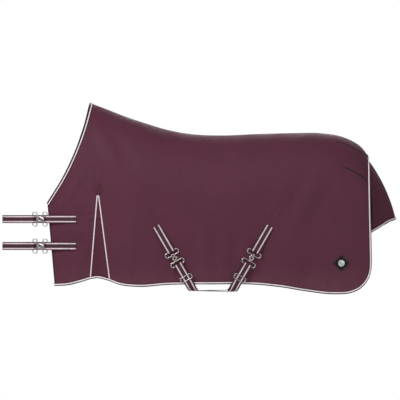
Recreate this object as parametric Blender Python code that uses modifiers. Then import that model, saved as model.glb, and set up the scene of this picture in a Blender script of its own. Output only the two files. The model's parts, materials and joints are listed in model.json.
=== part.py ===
"""Turnout rug, standing in the shape it takes on a horse, with its chest straps, belly surcingles and tail flap.

Frame: origin on the lining's underside over the middle of the back, where the rug rests on the horse.
+X runs to the tail, +Z up, and the near (left) side of the horse is -Y.
"""

import math

import bmesh
import bpy
import numpy as np
from mathutils import Matrix, Vector
from mathutils.bvhtree import BVHTree
from mathutils.kdtree import KDTree

# ---------------------------------------------------------------- driving sizes, in metres
RUG_LENGTH = 1.614  # chest edge to rear edge, seen from the side
RUG_DROP = 0.789  # back line to the lowest point of the hem
BARREL_HALF_WIDTH = 0.292  # half of the horse's barrel, with the rug on it
HEM_DRAW_IN = 0.018  # how far the hem hangs inside the widest line

OUTER_CLOTH = 0.0012
WADDING = 0.0080
LINING_CLOTH = 0.0010
PLY_GAP = 0.0004  # air between two plies, and between a ply and its trim

BINDING_WIDTH = 0.0056  # how far the edge binding stands out past the plies
BINDING_LAP = 0.0014  # how far it stands proud of the faces
RIM_GAP = 0.0012  # from the rim of the plies to the binding
CORNER_TRIM = 0.03  # bindings stop this share of a cell short of the chest corner
PIPING_RADIUS = 0.0030
PIPING_INSET = 0.0042  # centre of the piping cord, in from the edge of the plies
PIPING_LIFT = 0.0024

GUSSET_PLY = 0.0030
GUSSET_SEAM_GAP = 0.0012
GUSSET_TIP_GAP = 0.024  # the insert starts this far under the point of the slit
GUSSET_HAIRPIN = 0.0042  # half the distance between the two piping legs at the top
GUSSET_CORD_STEPS = 7  # along each leg
GUSSET_CORD_END = 0.82  # a leg stops this share of the way down its last step, clear of the hem
PATCH_WIDTH = 0.050
PATCH_HEIGHT = 0.056
PATCH_PLY = 0.0012
PATCH_CROWN = 0.96  # height of the patch's round top, as a share of a half circle's

DART_WIDTH = 0.0032
DART_HEIGHT = 0.0012
DART_BOW = 0.010  # how far a dart's middle rises over the line through its ends
DART_TIP = 0.25  # width of its front tip, as a share

CHEST_WEBBING = 0.040
SURCINGLE_WEBBING = 0.045
WEBBING_PLY = 0.0022
LOOP_RETURN = 0.026  # webbing sewn back behind itself past a bar
LOOP_RETURN_DROP = 0.0006  # the returned ply's middle, under the bar's
LOOP_RETURN_KNEE = 0.45  # it is back on its line this share of the way
SEWN_LIFT = 0.0006  # clearance under a sewn strap end

WIRE_RADIUS = 0.0025
RING_SPAN = 0.071  # between wire centres, across the webbing
RING_DEPTH = 0.022  # between wire centres, along the webbing
RING_CORNER = 0.0075
BAR_CLEARANCE = 0.0006  # webbing loop to wire
CLASP_GAP = 0.033  # front bar of the ring to front bar of the hook frame
HOOK_PLATE = 0.0030
HOOK_NECK = 0.012
HOOK_HEAD = 0.026
HOOK_EYE_RADIUS = 0.0052
HOOK_LIP_REACH = 0.0006  # the lip reaches this far past the middle of the ring's wire
HOOK_PLAY = 0.0020  # lip to wire, along the strap
HOOK_FACE_GAP = 0.0009  # plate to wire, across it
HOOK_CHEEK = 0.0020  # half of the flat on each side of the head
HOOK_NECK_SHARES = (0.95, 1.0, 1.03, 0.97)  # the neck's width along the plate, root to tip
HOOK_JOIN = 0.93  # width of the root and the lip, as a share of the neck's

CHEST_STRAP_DOWN = (0.420, 0.555)  # upper and lower strap, below the back line
CHEST_STRAP_SEWN = 0.139  # sewn end, behind the chest edge
CHEST_LOOP_REACH = 0.231  # front of the loop, ahead of the chest edge
CHEST_RING_AHEAD = 0.008  # ring's webbing bar, ahead of the chest edge
CHEST_SLOPE_FROM = (0.012, 0.0765)  # the strap leaves along the panel between these distances behind the edge
CHEST_STAND_OFF = 0.0076  # mid-ply of the strap over the outer cloth at the chest edge

SURCINGLE_SLOPE = math.radians(60)
SURCINGLE_HALF_SPREAD = 0.284  # sewn end, each side of the crossing
SURCINGLE_CROSSING = -0.035
SURCINGLE_SEWN_DOWN = 0.455  # below the back line
SURCINGLE_RING_AT = 0.146  # ring's webbing bar, down the strap from the sewn end
SURCINGLE_STAND_OFF = 0.0100  # mid-ply of the strap over the outer cloth at the ring
SURCINGLE_TURN = 0.035  # radius of the turn under the belly
SURCINGLE_BELOW_HEM = 0.003  # start of the turn, under the hem line
BELLY_STACK = 0.0040  # one surcingle passes this far under the other

SLIDER_WIRE = 0.0020
SLIDER_DEPTH = 0.023
SLIDER_SPAN = 0.061
SLIDER_FROM_TURN = 0.032  # slider's middle, up the strap from the turn
SLIDER_CLEARANCE = 0.0005
SLIDER_BAR_WIRE = 0.0018
SLIDER_BAR_BEND = 0.0026  # how far in from its ends the middle bar runs straight
HINGE_GAP = 0.0008  # between the two lengths of webbing where a strap folds open

FLAP_HALF_WIDTH = 0.190
FLAP_TOP_HALF_WIDTH = 0.160
FLAP_REACH = 0.135  # how far its lower edge stands out behind the dock
FLAP_DROP = 0.295  # its lower edge at the middle, below the dock
FLAP_SWEEP = 0.122  # how far its sides come forward at the lower edge
FLAP_SIDE_DROP = 0.066  # how far its sides hang lower than its middle
FLAP_TUCK = 0.0075  # gap to the rug's lining at the top
FLAP_SEAM_BOW = 0.010  # how far its seam comes forward at the sides
FLAP_BULGE = 0.38  # how much of its reach comes from the rounding at the top
FLAP_ROUNDING = 0.20  # how much of its drop comes late
FLAP_CLOTH = 0.0012
FLAP_LINING = 0.0010

LABEL_HALF_DIAGONAL = 0.038
LABEL_PLY = 0.0016
BADGE_RADIUS = 0.0165
BADGE_HEIGHT = 0.0022
LABEL_AT = (0.607, 0.640)  # behind the origin, below the back line

RUG_COLUMNS_FRONT = 8
RUG_COLUMNS_REAR = 19
RUG_ROWS_UPPER = 6
RUG_ROWS_LOWER = 4
GUSSET_COLUMNS = 3
GUSSET_ROWS = 5
CORD_STEPS = 5  # points of a cord for each cell of the cloth

STACK = OUTER_CLOTH + WADDING + LINING_CLOTH + 2 * PLY_GAP
BACK_LINE = STACK  # height of the outer cloth over the origin
CHEST_X = -0.860  # chest edge
NEAR, OFF = -1, 1

# Pattern outlines: (share of the length behind the chest edge, share of the drop below the back line).
TOPLINE = [
    (0.133, -0.204), (0.189, -0.160), (0.245, -0.116), (0.300, -0.078), (0.373, -0.034), (0.447, -0.008),
    (0.533, 0.000), (0.650, -0.009), (0.762, -0.015), (0.850, -0.014), (0.909, 0.006), (0.946, 0.037),
    (0.974, 0.078), (0.993, 0.128),
]
NECK_CREST = (-0.010, -0.320)  # the neck's line carries on to here, ahead of the withers
NECKLINE = [(0.000, 0.430), (0.050, 0.264), (0.087, 0.103), (0.115, -0.059), (0.133, -0.204)]
CHEST_FOOT = (0.022, 0.949)
GUSSET_POINT = (0.1547, 0.390)
GUSSET_FOOT_FRONT = (0.1313, 0.904)
GUSSET_FOOT_REAR = (0.1910, 0.917)
HEM_FRONT = [CHEST_FOOT, (0.059, 0.944), (0.096, 0.926), GUSSET_FOOT_FRONT]
HEM_GUSSET = [GUSSET_FOOT_FRONT, (0.1547, 0.899), GUSSET_FOOT_REAR]
HEM_REAR = [
    GUSSET_FOOT_REAR, (0.221, 0.940), (0.272, 0.953), (0.370, 0.941), (0.512, 0.937), (0.650, 0.940),
    (0.725, 0.956), (0.799, 0.981), (0.890, 1.000), (0.938, 0.992), (0.966, 0.966), (0.985, 0.925),
    (0.997, 0.870), (1.000, 0.800),
]
DARTS = [((0.892, 0.036), (0.984, 0.124)), ((0.909, 0.200), (0.986, 0.284))]

# How the horse's body fills the rug, from chest to tail: share of the length, then the value.
WIDTH_SHARE = [(0.0, 0.565), (0.06, 0.69), (0.133, 0.795), (0.25, 0.893), (0.40, 0.972), (0.55, 1.0),
               (0.75, 0.993), (0.88, 0.955), (0.95, 0.900), (1.0, 0.838)]
WIDEST_DOWN = [(0.0, 0.566), (0.133, 0.545), (0.30, 0.453), (0.55, 0.415), (0.80, 0.377), (1.0, 0.352)]
ROUNDNESS = [(0.0, 2.00), (0.133, 2.00), (0.30, 2.00), (0.55, 2.10), (0.85, 2.30), (1.0, 2.20)]

SPLINE_STEPS = 12


# ---------------------------------------------------------------- curves through points
def smooth_line(points):
    """A smooth function through (x, value) points, with slopes taken from each point's neighbours."""
    xs, ys = (np.array(values, float) for values in zip(*points))
    slopes = np.gradient(ys, xs)

    def value(x):
        x = min(max(x, xs[0]), xs[-1])
        i = min(int(np.searchsorted(xs, x, side="right")) - 1, len(xs) - 2)
        step = xs[i + 1] - xs[i]
        t = (x - xs[i]) / step
        start = (2 * t**3 - 3 * t**2 + 1) * ys[i] + (t**3 - 2 * t**2 + t) * step * slopes[i]
        end = (3 * t**2 - 2 * t**3) * ys[i + 1] + (t**3 - t**2) * step * slopes[i + 1]
        return float(start + end)

    return value


def pattern_point(share):
    """An outline point as (x, z) in metres."""
    return CHEST_X + share[0] * RUG_LENGTH, BACK_LINE - share[1] * RUG_DROP


def outline(shares):
    """A smooth curve through outline points: a function of 0 to 1 that gives (x, z)."""
    points = np.array([pattern_point(share) for share in shares])
    along = np.concatenate([[0], np.cumsum(np.linalg.norm(np.diff(points, axis=0), axis=1))])
    along /= along[-1]
    x_of = smooth_line(list(zip(along, points[:, 0])))
    z_of = smooth_line(list(zip(along, points[:, 1])))
    return lambda t: np.array([x_of(t), z_of(t)])


def between(a, b, share):
    return a + (b - a) * share


# ---------------------------------------------------------------- the body inside the rug
width_share = smooth_line(WIDTH_SHARE)
widest_down = smooth_line(WIDEST_DOWN)
roundness = smooth_line(ROUNDNESS)
crest_line = smooth_line([pattern_point(share) for share in [NECK_CREST, *TOPLINE]])


def half_width(x, z):
    """Half of the rug's width at that place of its side view."""
    along = (x - CHEST_X) / RUG_LENGTH
    widest = BARREL_HALF_WIDTH * width_share(along)
    widest_at = RUG_DROP * widest_down(along)
    power = roundness(along)
    depth = max(crest_line(x) - z, 0.0)
    if depth < widest_at:
        return widest * (1 - (1 - depth / widest_at) ** power) ** (1 / power)
    below = (depth - widest_at) / (RUG_DROP - widest_at)
    return widest - HEM_DRAW_IN * below**2


def on_body(side, point):
    """A point of the outer cloth's face from its place in the side view."""
    x, z = point
    return Vector((x, side * half_width(x, z), z))


def along_crest(t):
    """The back line from the withers to the dock, as (x, z)."""
    x = between(pattern_point(TOPLINE[0])[0], pattern_point(TOPLINE[-1])[0], t)
    return np.array([x, crest_line(x)])


def neck_edge(curve):
    """The neckline from the chest corner to the withers, with its steps closing up where it crosses the crest."""
    return lambda u: curve(between(u, math.sin(math.pi / 2 * u), 0.75))


def fore_part(u, v):
    """Side-view place in front of the gusset: u runs back from the chest edge, v down from the neckline."""
    top, foot = NECKLINE_CURVE(u), HEM_FRONT_CURVE(u)
    return fold_at_waist(top, foot, v, u**4, NECKLINE_CURVE(1), HEM_FRONT_CURVE(1))


def hind_part(u, v):
    """Side-view place behind the gusset: u runs back from the withers, v down from the back line."""
    top, foot = TOPLINE_CURVE(u), HEM_REAR_CURVE(u)
    return fold_at_waist(top, foot, v, (1 - u) ** 4, TOPLINE_CURVE(0), HEM_REAR_CURVE(0))


def fold_at_waist(top, foot, v, pull, seam_top, seam_foot):
    """Runs from top to foot, through the gusset's point where pull is 1."""
    point = np.array(pattern_point(GUSSET_POINT))
    waist_share = (seam_top[1] - point[1]) / (seam_top[1] - seam_foot[1])
    waist = between(top, foot, waist_share) + pull * (point - between(seam_top, seam_foot, waist_share))
    waist_row = RUG_ROWS_UPPER / (RUG_ROWS_UPPER + RUG_ROWS_LOWER)
    if v <= waist_row:
        return between(top, waist, 1 - math.cos(math.pi / 2 * v / waist_row))
    return between(waist, foot, (v - waist_row) / (1 - waist_row))


NECKLINE_CURVE = neck_edge(outline(NECKLINE))
TOPLINE_CURVE = along_crest
HEM_FRONT_CURVE = outline(HEM_FRONT)
HEM_GUSSET_CURVE = outline(HEM_GUSSET)
HEM_REAR_CURVE = outline(HEM_REAR)


# ---------------------------------------------------------------- Blender helpers
def clear_scene():
    for obj in list(bpy.data.objects):
        bpy.data.objects.remove(obj)


def new_collection(name):
    made = bpy.data.collections.new(name)
    bpy.context.scene.collection.children.link(made)
    return made


def material(name, colour, roughness, metallic=0.0):
    made = bpy.data.materials.new(name)
    made.use_nodes = True
    shader = made.node_tree.nodes["Principled BSDF"]
    shader.inputs["Base Color"].default_value = (*colour, 1.0)
    shader.inputs["Roughness"].default_value = roughness
    shader.inputs["Metallic"].default_value = metallic
    return made


def add_object(name, data, finish):
    obj = bpy.data.objects.new(name, data)
    data.materials.append(finish)
    PARTS.objects.link(obj)
    return obj


def grid_mesh(bm, columns, rows, place, flip=False):
    """Adds a grid primitive to bm, laid out by place(u, v), with its face along du x dv, or against it with flip."""
    old = set(bm.verts)
    bmesh.ops.create_grid(bm, x_segments=columns, y_segments=rows, size=0.5)
    verts = [v for v in bm.verts if v not in old]
    for vert in verts:
        vert.co = place(vert.co.x + 0.5, vert.co.y + 0.5)
    if flip:
        faces = [f for f in bm.faces if f.verts[0] not in old]
        bmesh.ops.reverse_faces(bm, faces=faces)


def thicken(obj, thickness, depth=0.0):
    """Solidifies a surface, from depth under its face to depth + thickness."""
    solid = obj.modifiers.new("Thickness", "SOLIDIFY")
    solid.thickness = thickness
    solid.offset = -1 - 2 * depth / thickness
    return obj


def sheet(name, columns, rows, place, finish, thickness, depth=0.0, flip=False):
    """A cloth piece: a grid laid out by place(u, v), thickened away from its face."""
    bm = bmesh.new()
    grid_mesh(bm, columns, rows, place, flip)
    mesh = bpy.data.meshes.new(name)
    bm.to_mesh(mesh)
    bm.free()
    return thicken(add_object(name, mesh, finish), thickness, depth)


def ribbon(name, path, finish, thickness):
    """A strip through pairs of edge points, its thickness shared by both sides."""

    def place(u, v):
        left, right = path[round(u * (len(path) - 1))]
        return left.lerp(right, v)

    obj = sheet(name, len(path) - 1, 1, place, finish, thickness)
    obj.modifiers["Thickness"].offset = 0
    obj.modifiers["Thickness"].use_even_offset = True
    return obj


def tube(name, points, radius, finish, cyclic=False, resolution=1):
    """A cord or wire along points."""
    curve = bpy.data.curves.new(name, "CURVE")
    curve.dimensions = "3D"
    curve.bevel_depth = radius
    curve.bevel_resolution = resolution
    curve.use_fill_caps = not cyclic
    spline = curve.splines.new("POLY")
    spline.points.add(len(points) - 1)
    for slot, point in zip(spline.points, points):
        slot.co = (*point, 1.0)
    spline.use_cyclic_u = cyclic
    return add_object(name, curve, finish)


def as_mesh(obj):
    """Turns a curve object into a mesh object of the same name, ready for a Boolean."""
    bpy.context.view_layer.update()
    name, matrix, finish = obj.name, obj.matrix_world.copy(), obj.data.materials[0]
    mesh = bpy.data.meshes.new_from_object(obj.evaluated_get(bpy.context.evaluated_depsgraph_get()))
    bpy.data.objects.remove(obj)
    bm = bmesh.new()
    bm.from_mesh(mesh)
    bmesh.ops.transform(bm, matrix=matrix, verts=bm.verts)
    bmesh.ops.remove_doubles(bm, verts=bm.verts, dist=1e-6)
    bmesh.ops.recalc_face_normals(bm, faces=bm.faces)
    bm.to_mesh(mesh)
    bm.free()
    mesh.materials.clear()
    return add_object(name, mesh, finish)


def helper(obj):
    """Moves an object to the cutters, where it is only used by a modifier."""
    PARTS.objects.unlink(obj)
    CUTTERS.objects.link(obj)
    obj.hide_render = True
    obj.display_type = "WIRE"
    return obj


def boolean(obj, other, operation):
    step = obj.modifiers.new(operation.title(), "BOOLEAN")
    step.operation = operation
    step.object = other


def block(name, low, high, finish):
    """A box between two corners."""
    bm = bmesh.new()
    bmesh.ops.create_cube(bm, size=1.0)
    low, high = Vector(low), Vector(high)
    for vert in bm.verts:
        vert.co = (low + high) / 2 + Vector(c * s for c, s in zip(vert.co, high - low))
    mesh = bpy.data.meshes.new(name)
    bm.to_mesh(mesh)
    bm.free()
    return add_object(name, mesh, finish)


def prism(name, outline_points, low, high, finish):
    """A flat outline in the local XY plane, extruded in Z from low to high."""
    curve = bpy.data.curves.new(name, "CURVE")
    curve.dimensions = "2D"
    curve.fill_mode = "BOTH"
    curve.extrude = (high - low) / 2
    spline = curve.splines.new("POLY")
    spline.points.add(len(outline_points) - 1)
    for slot, (x, y) in zip(spline.points, outline_points):
        slot.co = (x, y, 0.0, 1.0)
    spline.use_cyclic_u = True
    obj = add_object(name, curve, finish)
    obj.location.z = (low + high) / 2
    return as_mesh(obj)


def basis(origin, x_axis, y_axis, z_axis):
    made = Matrix((x_axis, y_axis, z_axis)).transposed().to_4x4()
    made.translation = origin
    return made


def hang(obj, place):
    """Puts a moving piece's own origin on its joint axis, which becomes its local Z, without moving the piece."""
    obj.data.transform(place.inverted())
    obj.matrix_world = place


def hinge_basis(origin, axis):
    side = axis.orthogonal().normalized()
    return basis(origin, side, axis.cross(side), axis)


# ---------------------------------------------------------------- the rug itself
def rug_surface(bm):
    """The outer cloth's face, both sides in one, open at the gusset slits."""
    rows = RUG_ROWS_UPPER + RUG_ROWS_LOWER
    for side in (NEAR, OFF):
        grid_mesh(bm, RUG_COLUMNS_FRONT, rows, lambda u, v: on_body(side, fore_part(u, v)), side == OFF)
        grid_mesh(bm, RUG_COLUMNS_REAR, rows, lambda u, v: on_body(side, hind_part(u, v)), side == OFF)
    for face in bm.faces:
        face.normal_flip()
    bmesh.ops.remove_doubles(bm, verts=bm.verts, dist=1e-5)
    bmesh.ops.triangulate(bm, faces=bm.faces, quad_method="SHORT_EDGE")
    bm.normal_update()


def rug_ply(name, finish, thickness, depth):
    """One ply of the rug. Every ply uses the same face, so the plies nest."""
    bm = bmesh.new()
    rug_surface(bm)
    mesh = bpy.data.meshes.new(name)
    bm.to_mesh(mesh)
    bm.free()
    return thicken(add_object(name, mesh, finish), thickness, depth)


def corner_normals():
    """Looks up the direction in which the plies are stacked at a corner of the rug's surface."""
    bm = bmesh.new()
    rug_surface(bm)
    tree = KDTree(len(bm.verts))
    normals = [vert.normal.copy() for vert in bm.verts]
    for vert in bm.verts:
        tree.insert(vert.co, vert.index)
    tree.balance()
    bm.free()
    return lambda point: normals[tree.find(point)[1]]


def skin_tree():
    """The outer cloth's face, for finding what lies under a piece."""
    bm = bmesh.new()
    rug_surface(bm)
    tree = BVHTree.FromBMesh(bm)
    bm.free()
    return tree


def edge_frames(edge):
    """For each (point, stacking direction, point inside the edge): (point, stacking direction, way out)."""
    frames = []
    points = [item[0] for item in edge]
    for i, (point, normal, inner) in enumerate(edge):
        ahead = points[min(i + 1, len(points) - 1)] - points[max(i - 1, 0)]
        out = ahead.cross(normal).normalized()
        frames.append((point, normal, out if out.dot(point - inner) > 0 else -out))
    return frames


def binding(name, frames, finish, plies=STACK):
    """An edge binding: a strip across the rim of the plies, thickened outwards."""

    def place(u, v):
        point, normal, out = frames[round(u * (len(frames) - 1))]
        return point + out * RIM_GAP + normal * between(-plies - BINDING_LAP, BINDING_LAP, v)

    obj = sheet(name, len(frames) - 1, 1, place, finish, BINDING_WIDTH)
    if obj.data.polygons[0].normal.dot(frames[0][2]) < 0:
        obj.data.flip_normals()
    obj.modifiers["Thickness"].offset = 1
    return obj


def cord_on_cloth(name, line):
    """A piping cord laid on the outer cloth along a line that runs close over it."""
    points = []
    for start, end in zip(line, line[1:]):
        points += [start.lerp(end, step / CORD_STEPS) for step in range(CORD_STEPS)]
    seats = [SKIN.find_nearest(point)[:2] for point in points + [line[-1]]]
    return tube(name, [spot + normal * (PIPING_RADIUS + PIPING_LIFT) for spot, normal in seats],
                PIPING_RADIUS, PIPING_CORD)


def mirrored_edge(edge, whole=False):
    """The same edge on the off side, from its far end back; without its first item unless whole."""
    return [tuple(Vector((v.x, -v.y, v.z)) for v in item) for item in reversed(edge if whole else edge[:-1])]


def make_edges():
    """The neck binding with its piping, the chest edges' bindings, and the light one round the hem and rear edge."""
    rows = RUG_ROWS_UPPER + RUG_ROWS_LOWER
    normal_at = corner_normals()

    def item(part, u, v, inner_u, inner_v):
        point = on_body(NEAR, part(u, v))
        return point, normal_at(point), on_body(NEAR, part(inner_u, inner_v))

    front = [i / RUG_COLUMNS_FRONT for i in range(RUG_COLUMNS_FRONT + 1)]
    rear = [i / RUG_COLUMNS_REAR for i in range(RUG_COLUMNS_REAR + 1)]
    down = [i / rows for i in range(rows + 1)]
    before, behind = 1 - 1 / rows, 1 - 1 / RUG_COLUMNS_REAR

    neck = [item(fore_part, u, 0, u, 1 / rows) for u in front]
    point, normal, inner = neck[0]
    neck[0] = (point.lerp(neck[1][0], CORNER_TRIM), normal, inner)
    frames = edge_frames(neck + mirrored_edge(neck))
    binding("neck_binding", frames, BINDING_TAPE)
    cord_on_cloth("neck_piping", [point - out * PIPING_INSET for point, _, out in frames])

    chest = [item(fore_part, 0, v, 1 / RUG_COLUMNS_FRONT, v) for v in down]
    for end, nearest in ((0, 1), (-1, -2)):
        point, normal, inner = chest[end]
        chest[end] = (point.lerp(chest[nearest][0], CORNER_TRIM), normal, inner)
    binding("chest_edge_binding_near", edge_frames(chest), BINDING_TAPE)
    binding("chest_edge_binding_off", edge_frames(mirrored_edge(chest, True)), BINDING_TAPE)

    hem = [item(fore_part, u, 1, u + 0.05, before) for u in front]
    foot, next_foot = hem[-1], item(hind_part, 0, 1, 0.05, before)
    for i in range(1, GUSSET_COLUMNS):
        share = i / GUSSET_COLUMNS
        point = on_body(NEAR, HEM_GUSSET_CURVE(share))
        hem.append((point, foot[1].lerp(next_foot[1], share).normalized(), foot[2].lerp(next_foot[2], share)))
    hem += [item(hind_part, u, 1, min(u, behind), before) for u in rear]
    edge = hem + [item(hind_part, 1, v, behind, v) for v in down[-2::-1]]
    binding("hem_binding", edge_frames(edge + mirrored_edge(edge)), PIPING_CORD)


def make_gusset(side, word):
    """The triangular insert behind the shoulder, its hairpin of piping and the patch over its point."""
    point = np.array(pattern_point(GUSSET_POINT))
    front_foot, rear_foot = np.array(pattern_point(GUSSET_FOOT_FRONT)), np.array(pattern_point(GUSSET_FOOT_REAR))
    tip_share = GUSSET_TIP_GAP / (point[1] - front_foot[1])

    def insert(u, v):
        down = tip_share + (1 - tip_share) * v
        left, right = between(point, front_foot, down), between(point, rear_foot, down)
        left[0] += GUSSET_SEAM_GAP
        right[0] -= GUSSET_SEAM_GAP
        place = between(left, right, u)
        place[1] += (HEM_GUSSET_CURVE(u)[1] - between(front_foot, rear_foot, u)[1] + GUSSET_SEAM_GAP) * v
        return on_body(side, place)

    sheet(f"gusset_{word}", GUSSET_COLUMNS, GUSSET_ROWS, insert, OUTER_FABRIC, GUSSET_PLY, flip=side == NEAR)

    lift = PIPING_RADIUS + PIPING_LIFT
    legs = []
    for foot, shift in ((front_foot, -1), (rear_foot, 1)):
        start = point + np.array((shift * GUSSET_HAIRPIN, 0.0))
        legs.append([between(start, foot, i / GUSSET_CORD_STEPS) for i in range(GUSSET_CORD_STEPS + 1)])
        legs[-1][-1] = between(legs[-1][-2], legs[-1][-1], GUSSET_CORD_END)
    bend = [
        point + GUSSET_HAIRPIN * np.array((-math.cos(a), math.sin(a)))
        for a in (math.radians(45), math.radians(90), math.radians(135))
    ]
    line = [on_body(side, p) for p in legs[0][::-1] + bend + legs[1]]
    outward = Vector((0, side, 0))
    tube(f"gusset_piping_{word}", [p + outward * lift for p in line], PIPING_RADIUS, PIPING_CORD)

    middle = point + np.array((0.0, PATCH_HEIGHT / 2 + GUSSET_HAIRPIN + PIPING_RADIUS + 3 * PLY_GAP))
    straight = PATCH_HEIGHT / 2 - PATCH_WIDTH / 2

    def patch(u, v):
        across = PATCH_WIDTH * (u - 0.5)
        crown = straight + math.sqrt(max((PATCH_WIDTH / 2) ** 2 - across**2, 0.0)) * PATCH_CROWN
        return on_body(side, middle + np.array((across, between(crown, -PATCH_HEIGHT / 2, v))))

    sheet(f"gusset_patch_{word}", 6, 3, patch, OUTER_FABRIC, PATCH_PLY, -PATCH_PLY - 3 * PLY_GAP, side == NEAR)


def make_darts(side, word):
    """Two sewn darts that round the rump."""
    for label, (front, rear) in zip(("upper", "lower"), DARTS):
        start, end = np.array(pattern_point(front)), np.array(pattern_point(rear))
        bow = np.array((0.0, DART_BOW))

        def place(u, v):
            middle = between(start, end, u) + bow * 4 * u * (1 - u)
            taper = between(DART_TIP, 1.0, min(1.0, u * 4))
            return on_body(side, middle + np.array((0.0, DART_WIDTH * taper * (0.5 - v))))

        lift = -DART_HEIGHT - 5 * PLY_GAP
        sheet(f"rump_dart_{label}_{word}", 5, 1, place, BINDING_TAPE, DART_HEIGHT, lift, side == NEAR)


# ---------------------------------------------------------------- tail flap
def flap_point(u, v):
    """The flap's outer face: u across from near to off, v down from its seam."""
    dock = np.array(pattern_point(TOPLINE[-1]))
    across = 2 * u - 1
    half = between(FLAP_TOP_HALF_WIDTH, FLAP_HALF_WIDTH, math.sin(math.pi / 2 * v))
    y = half * across
    seam_z = rear_section_height(abs(FLAP_TOP_HALF_WIDTH * across)) - STACK - FLAP_TUCK - BINDING_LAP
    seam_x = dock[0] - FLAP_SEAM_BOW * across**2
    x_mid = FLAP_REACH * between(v, v * (2 - v), FLAP_BULGE)
    z_mid = FLAP_DROP * between(v, v**2, FLAP_ROUNDING)
    x = seam_x + x_mid - (FLAP_SWEEP - FLAP_SEAM_BOW) * v * across**2
    seam_fall = rear_section_height(0.0) - rear_section_height(FLAP_TOP_HALF_WIDTH)
    z = seam_z - z_mid - (FLAP_SIDE_DROP - seam_fall) * v * across**2
    return Vector((x, y, z))


def rear_section_height(y):
    """Height of the outer cloth at the rear edge, at that distance from the middle."""
    x, top = pattern_point(TOPLINE[-1])
    low, high = top - RUG_DROP, top
    for _ in range(40):
        middle = (low + high) / 2
        if half_width(x, middle) > y:
            low = middle
        else:
            high = middle
    return high


def make_flap():
    rows, columns = 6, 8
    under = FLAP_CLOTH + PLY_GAP
    outer = sheet("tail_flap_outer", columns, rows, flap_point, OUTER_FABRIC, FLAP_CLOTH, flip=True)
    inner = sheet("tail_flap_lining", columns, rows, flap_point, LINING_FABRIC, FLAP_LINING, under, True)
    edge = [flap_point(i / columns, 1) for i in range(columns + 1)]
    frames = []
    for i, point in enumerate(edge):
        down = (point - flap_point(i / columns, 1 - 1 / rows)).normalized()
        along = edge[min(i + 1, columns)] - edge[max(i - 1, 0)]
        normal = down.cross(along).normalized()
        normal = normal if normal.x > 0 else -normal
        out = normal.cross(along).normalized()
        frames.append((point, normal, out if out.dot(down) > 0 else -out))
    tape = binding("tail_flap_binding", frames, PIPING_CORD, under + FLAP_LINING)
    for obj in (outer, inner, tape):
        hang(obj, hinge_basis(flap_point(0.5, 0), Vector((0, -1, 0))))


# ---------------------------------------------------------------- clasp hardware
def ring_path(depth, span, corner):
    """A rounded rectangle in the local XY plane: x along the strap from the webbing bar, y across."""
    points = []
    for cx, cy, start in ((depth - corner, span / 2 - corner, 0), (corner, span / 2 - corner, 90),
                          (corner, -span / 2 + corner, 180), (depth - corner, -span / 2 + corner, 270)):
        for step in (0, 45, 90):
            a = math.radians(start + step)
            points.append((cx + corner * math.cos(a), cy + corner * math.sin(a), 0.0))
    return points


def make_ring(name, place):
    """A plain clasp ring. Its webbing bar lies on the local Y axis, and its front bar ahead of it on +X."""
    ring = tube(name, ring_path(RING_DEPTH, RING_SPAN, RING_CORNER), WIRE_RADIUS, STEEL, cyclic=True)
    as_mesh(ring).matrix_world = place


def make_hook(name, place):
    """A hook frame. +X points to the ring, and the lip goes down behind the ring's front bar (local -Z)."""
    frame = as_mesh(tube(name, ring_path(RING_DEPTH, RING_SPAN, RING_CORNER), WIRE_RADIUS, STEEL, cyclic=True))
    under = WIRE_RADIUS + HOOK_FACE_GAP
    lip_at = RING_DEPTH + CLASP_GAP + WIRE_RADIUS + HOOK_PLAY
    tip = lip_at + HOOK_PLATE
    neck, head = HOOK_NECK / 2, HOOK_HEAD / 2
    root_neck, foot_neck, far_neck, tip_neck = (neck * share for share in HOOK_NECK_SHARES)
    widest = RING_DEPTH + CLASP_GAP / 2
    corners = [
        (RING_DEPTH - WIRE_RADIUS * 0.8, root_neck), (RING_DEPTH + WIRE_RADIUS, foot_neck),
        (widest - HOOK_CHEEK, head), (widest + HOOK_CHEEK, head),
        (RING_DEPTH + CLASP_GAP - WIRE_RADIUS, far_neck), (tip, tip_neck),
    ]
    shape = corners + [(x, -y) for x, y in reversed(corners)]
    plate = helper(prism(name + "_plate", shape, under, under + HOOK_PLATE, STEEL))
    join, root_reach, inside = neck * HOOK_JOIN, WIRE_RADIUS * 0.6, under + HOOK_PLATE / 2
    root = helper(block(name + "_root", (RING_DEPTH - root_reach, -join, 0.0),
                        (RING_DEPTH + root_reach, join, inside), STEEL))
    lip = helper(block(name + "_lip", (lip_at, -join, -HOOK_LIP_REACH), (tip - 0.0001, join, inside), STEEL))
    bm = bmesh.new()
    bmesh.ops.create_cone(bm, cap_ends=True, segments=12, radius1=HOOK_EYE_RADIUS, radius2=HOOK_EYE_RADIUS,
                          depth=4 * HOOK_PLATE, matrix=Matrix.Translation((widest, 0, under)))
    eye_mesh = bpy.data.meshes.new(name + "_eye")
    bm.to_mesh(eye_mesh)
    bm.free()
    eye = helper(add_object(name + "_eye", eye_mesh, STEEL))
    for other in (plate, root, lip):
        boolean(frame, other, "UNION")
    boolean(frame, eye, "DIFFERENCE")
    for obj in (frame, plate, root, lip, eye):
        obj.matrix_world = place


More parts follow.
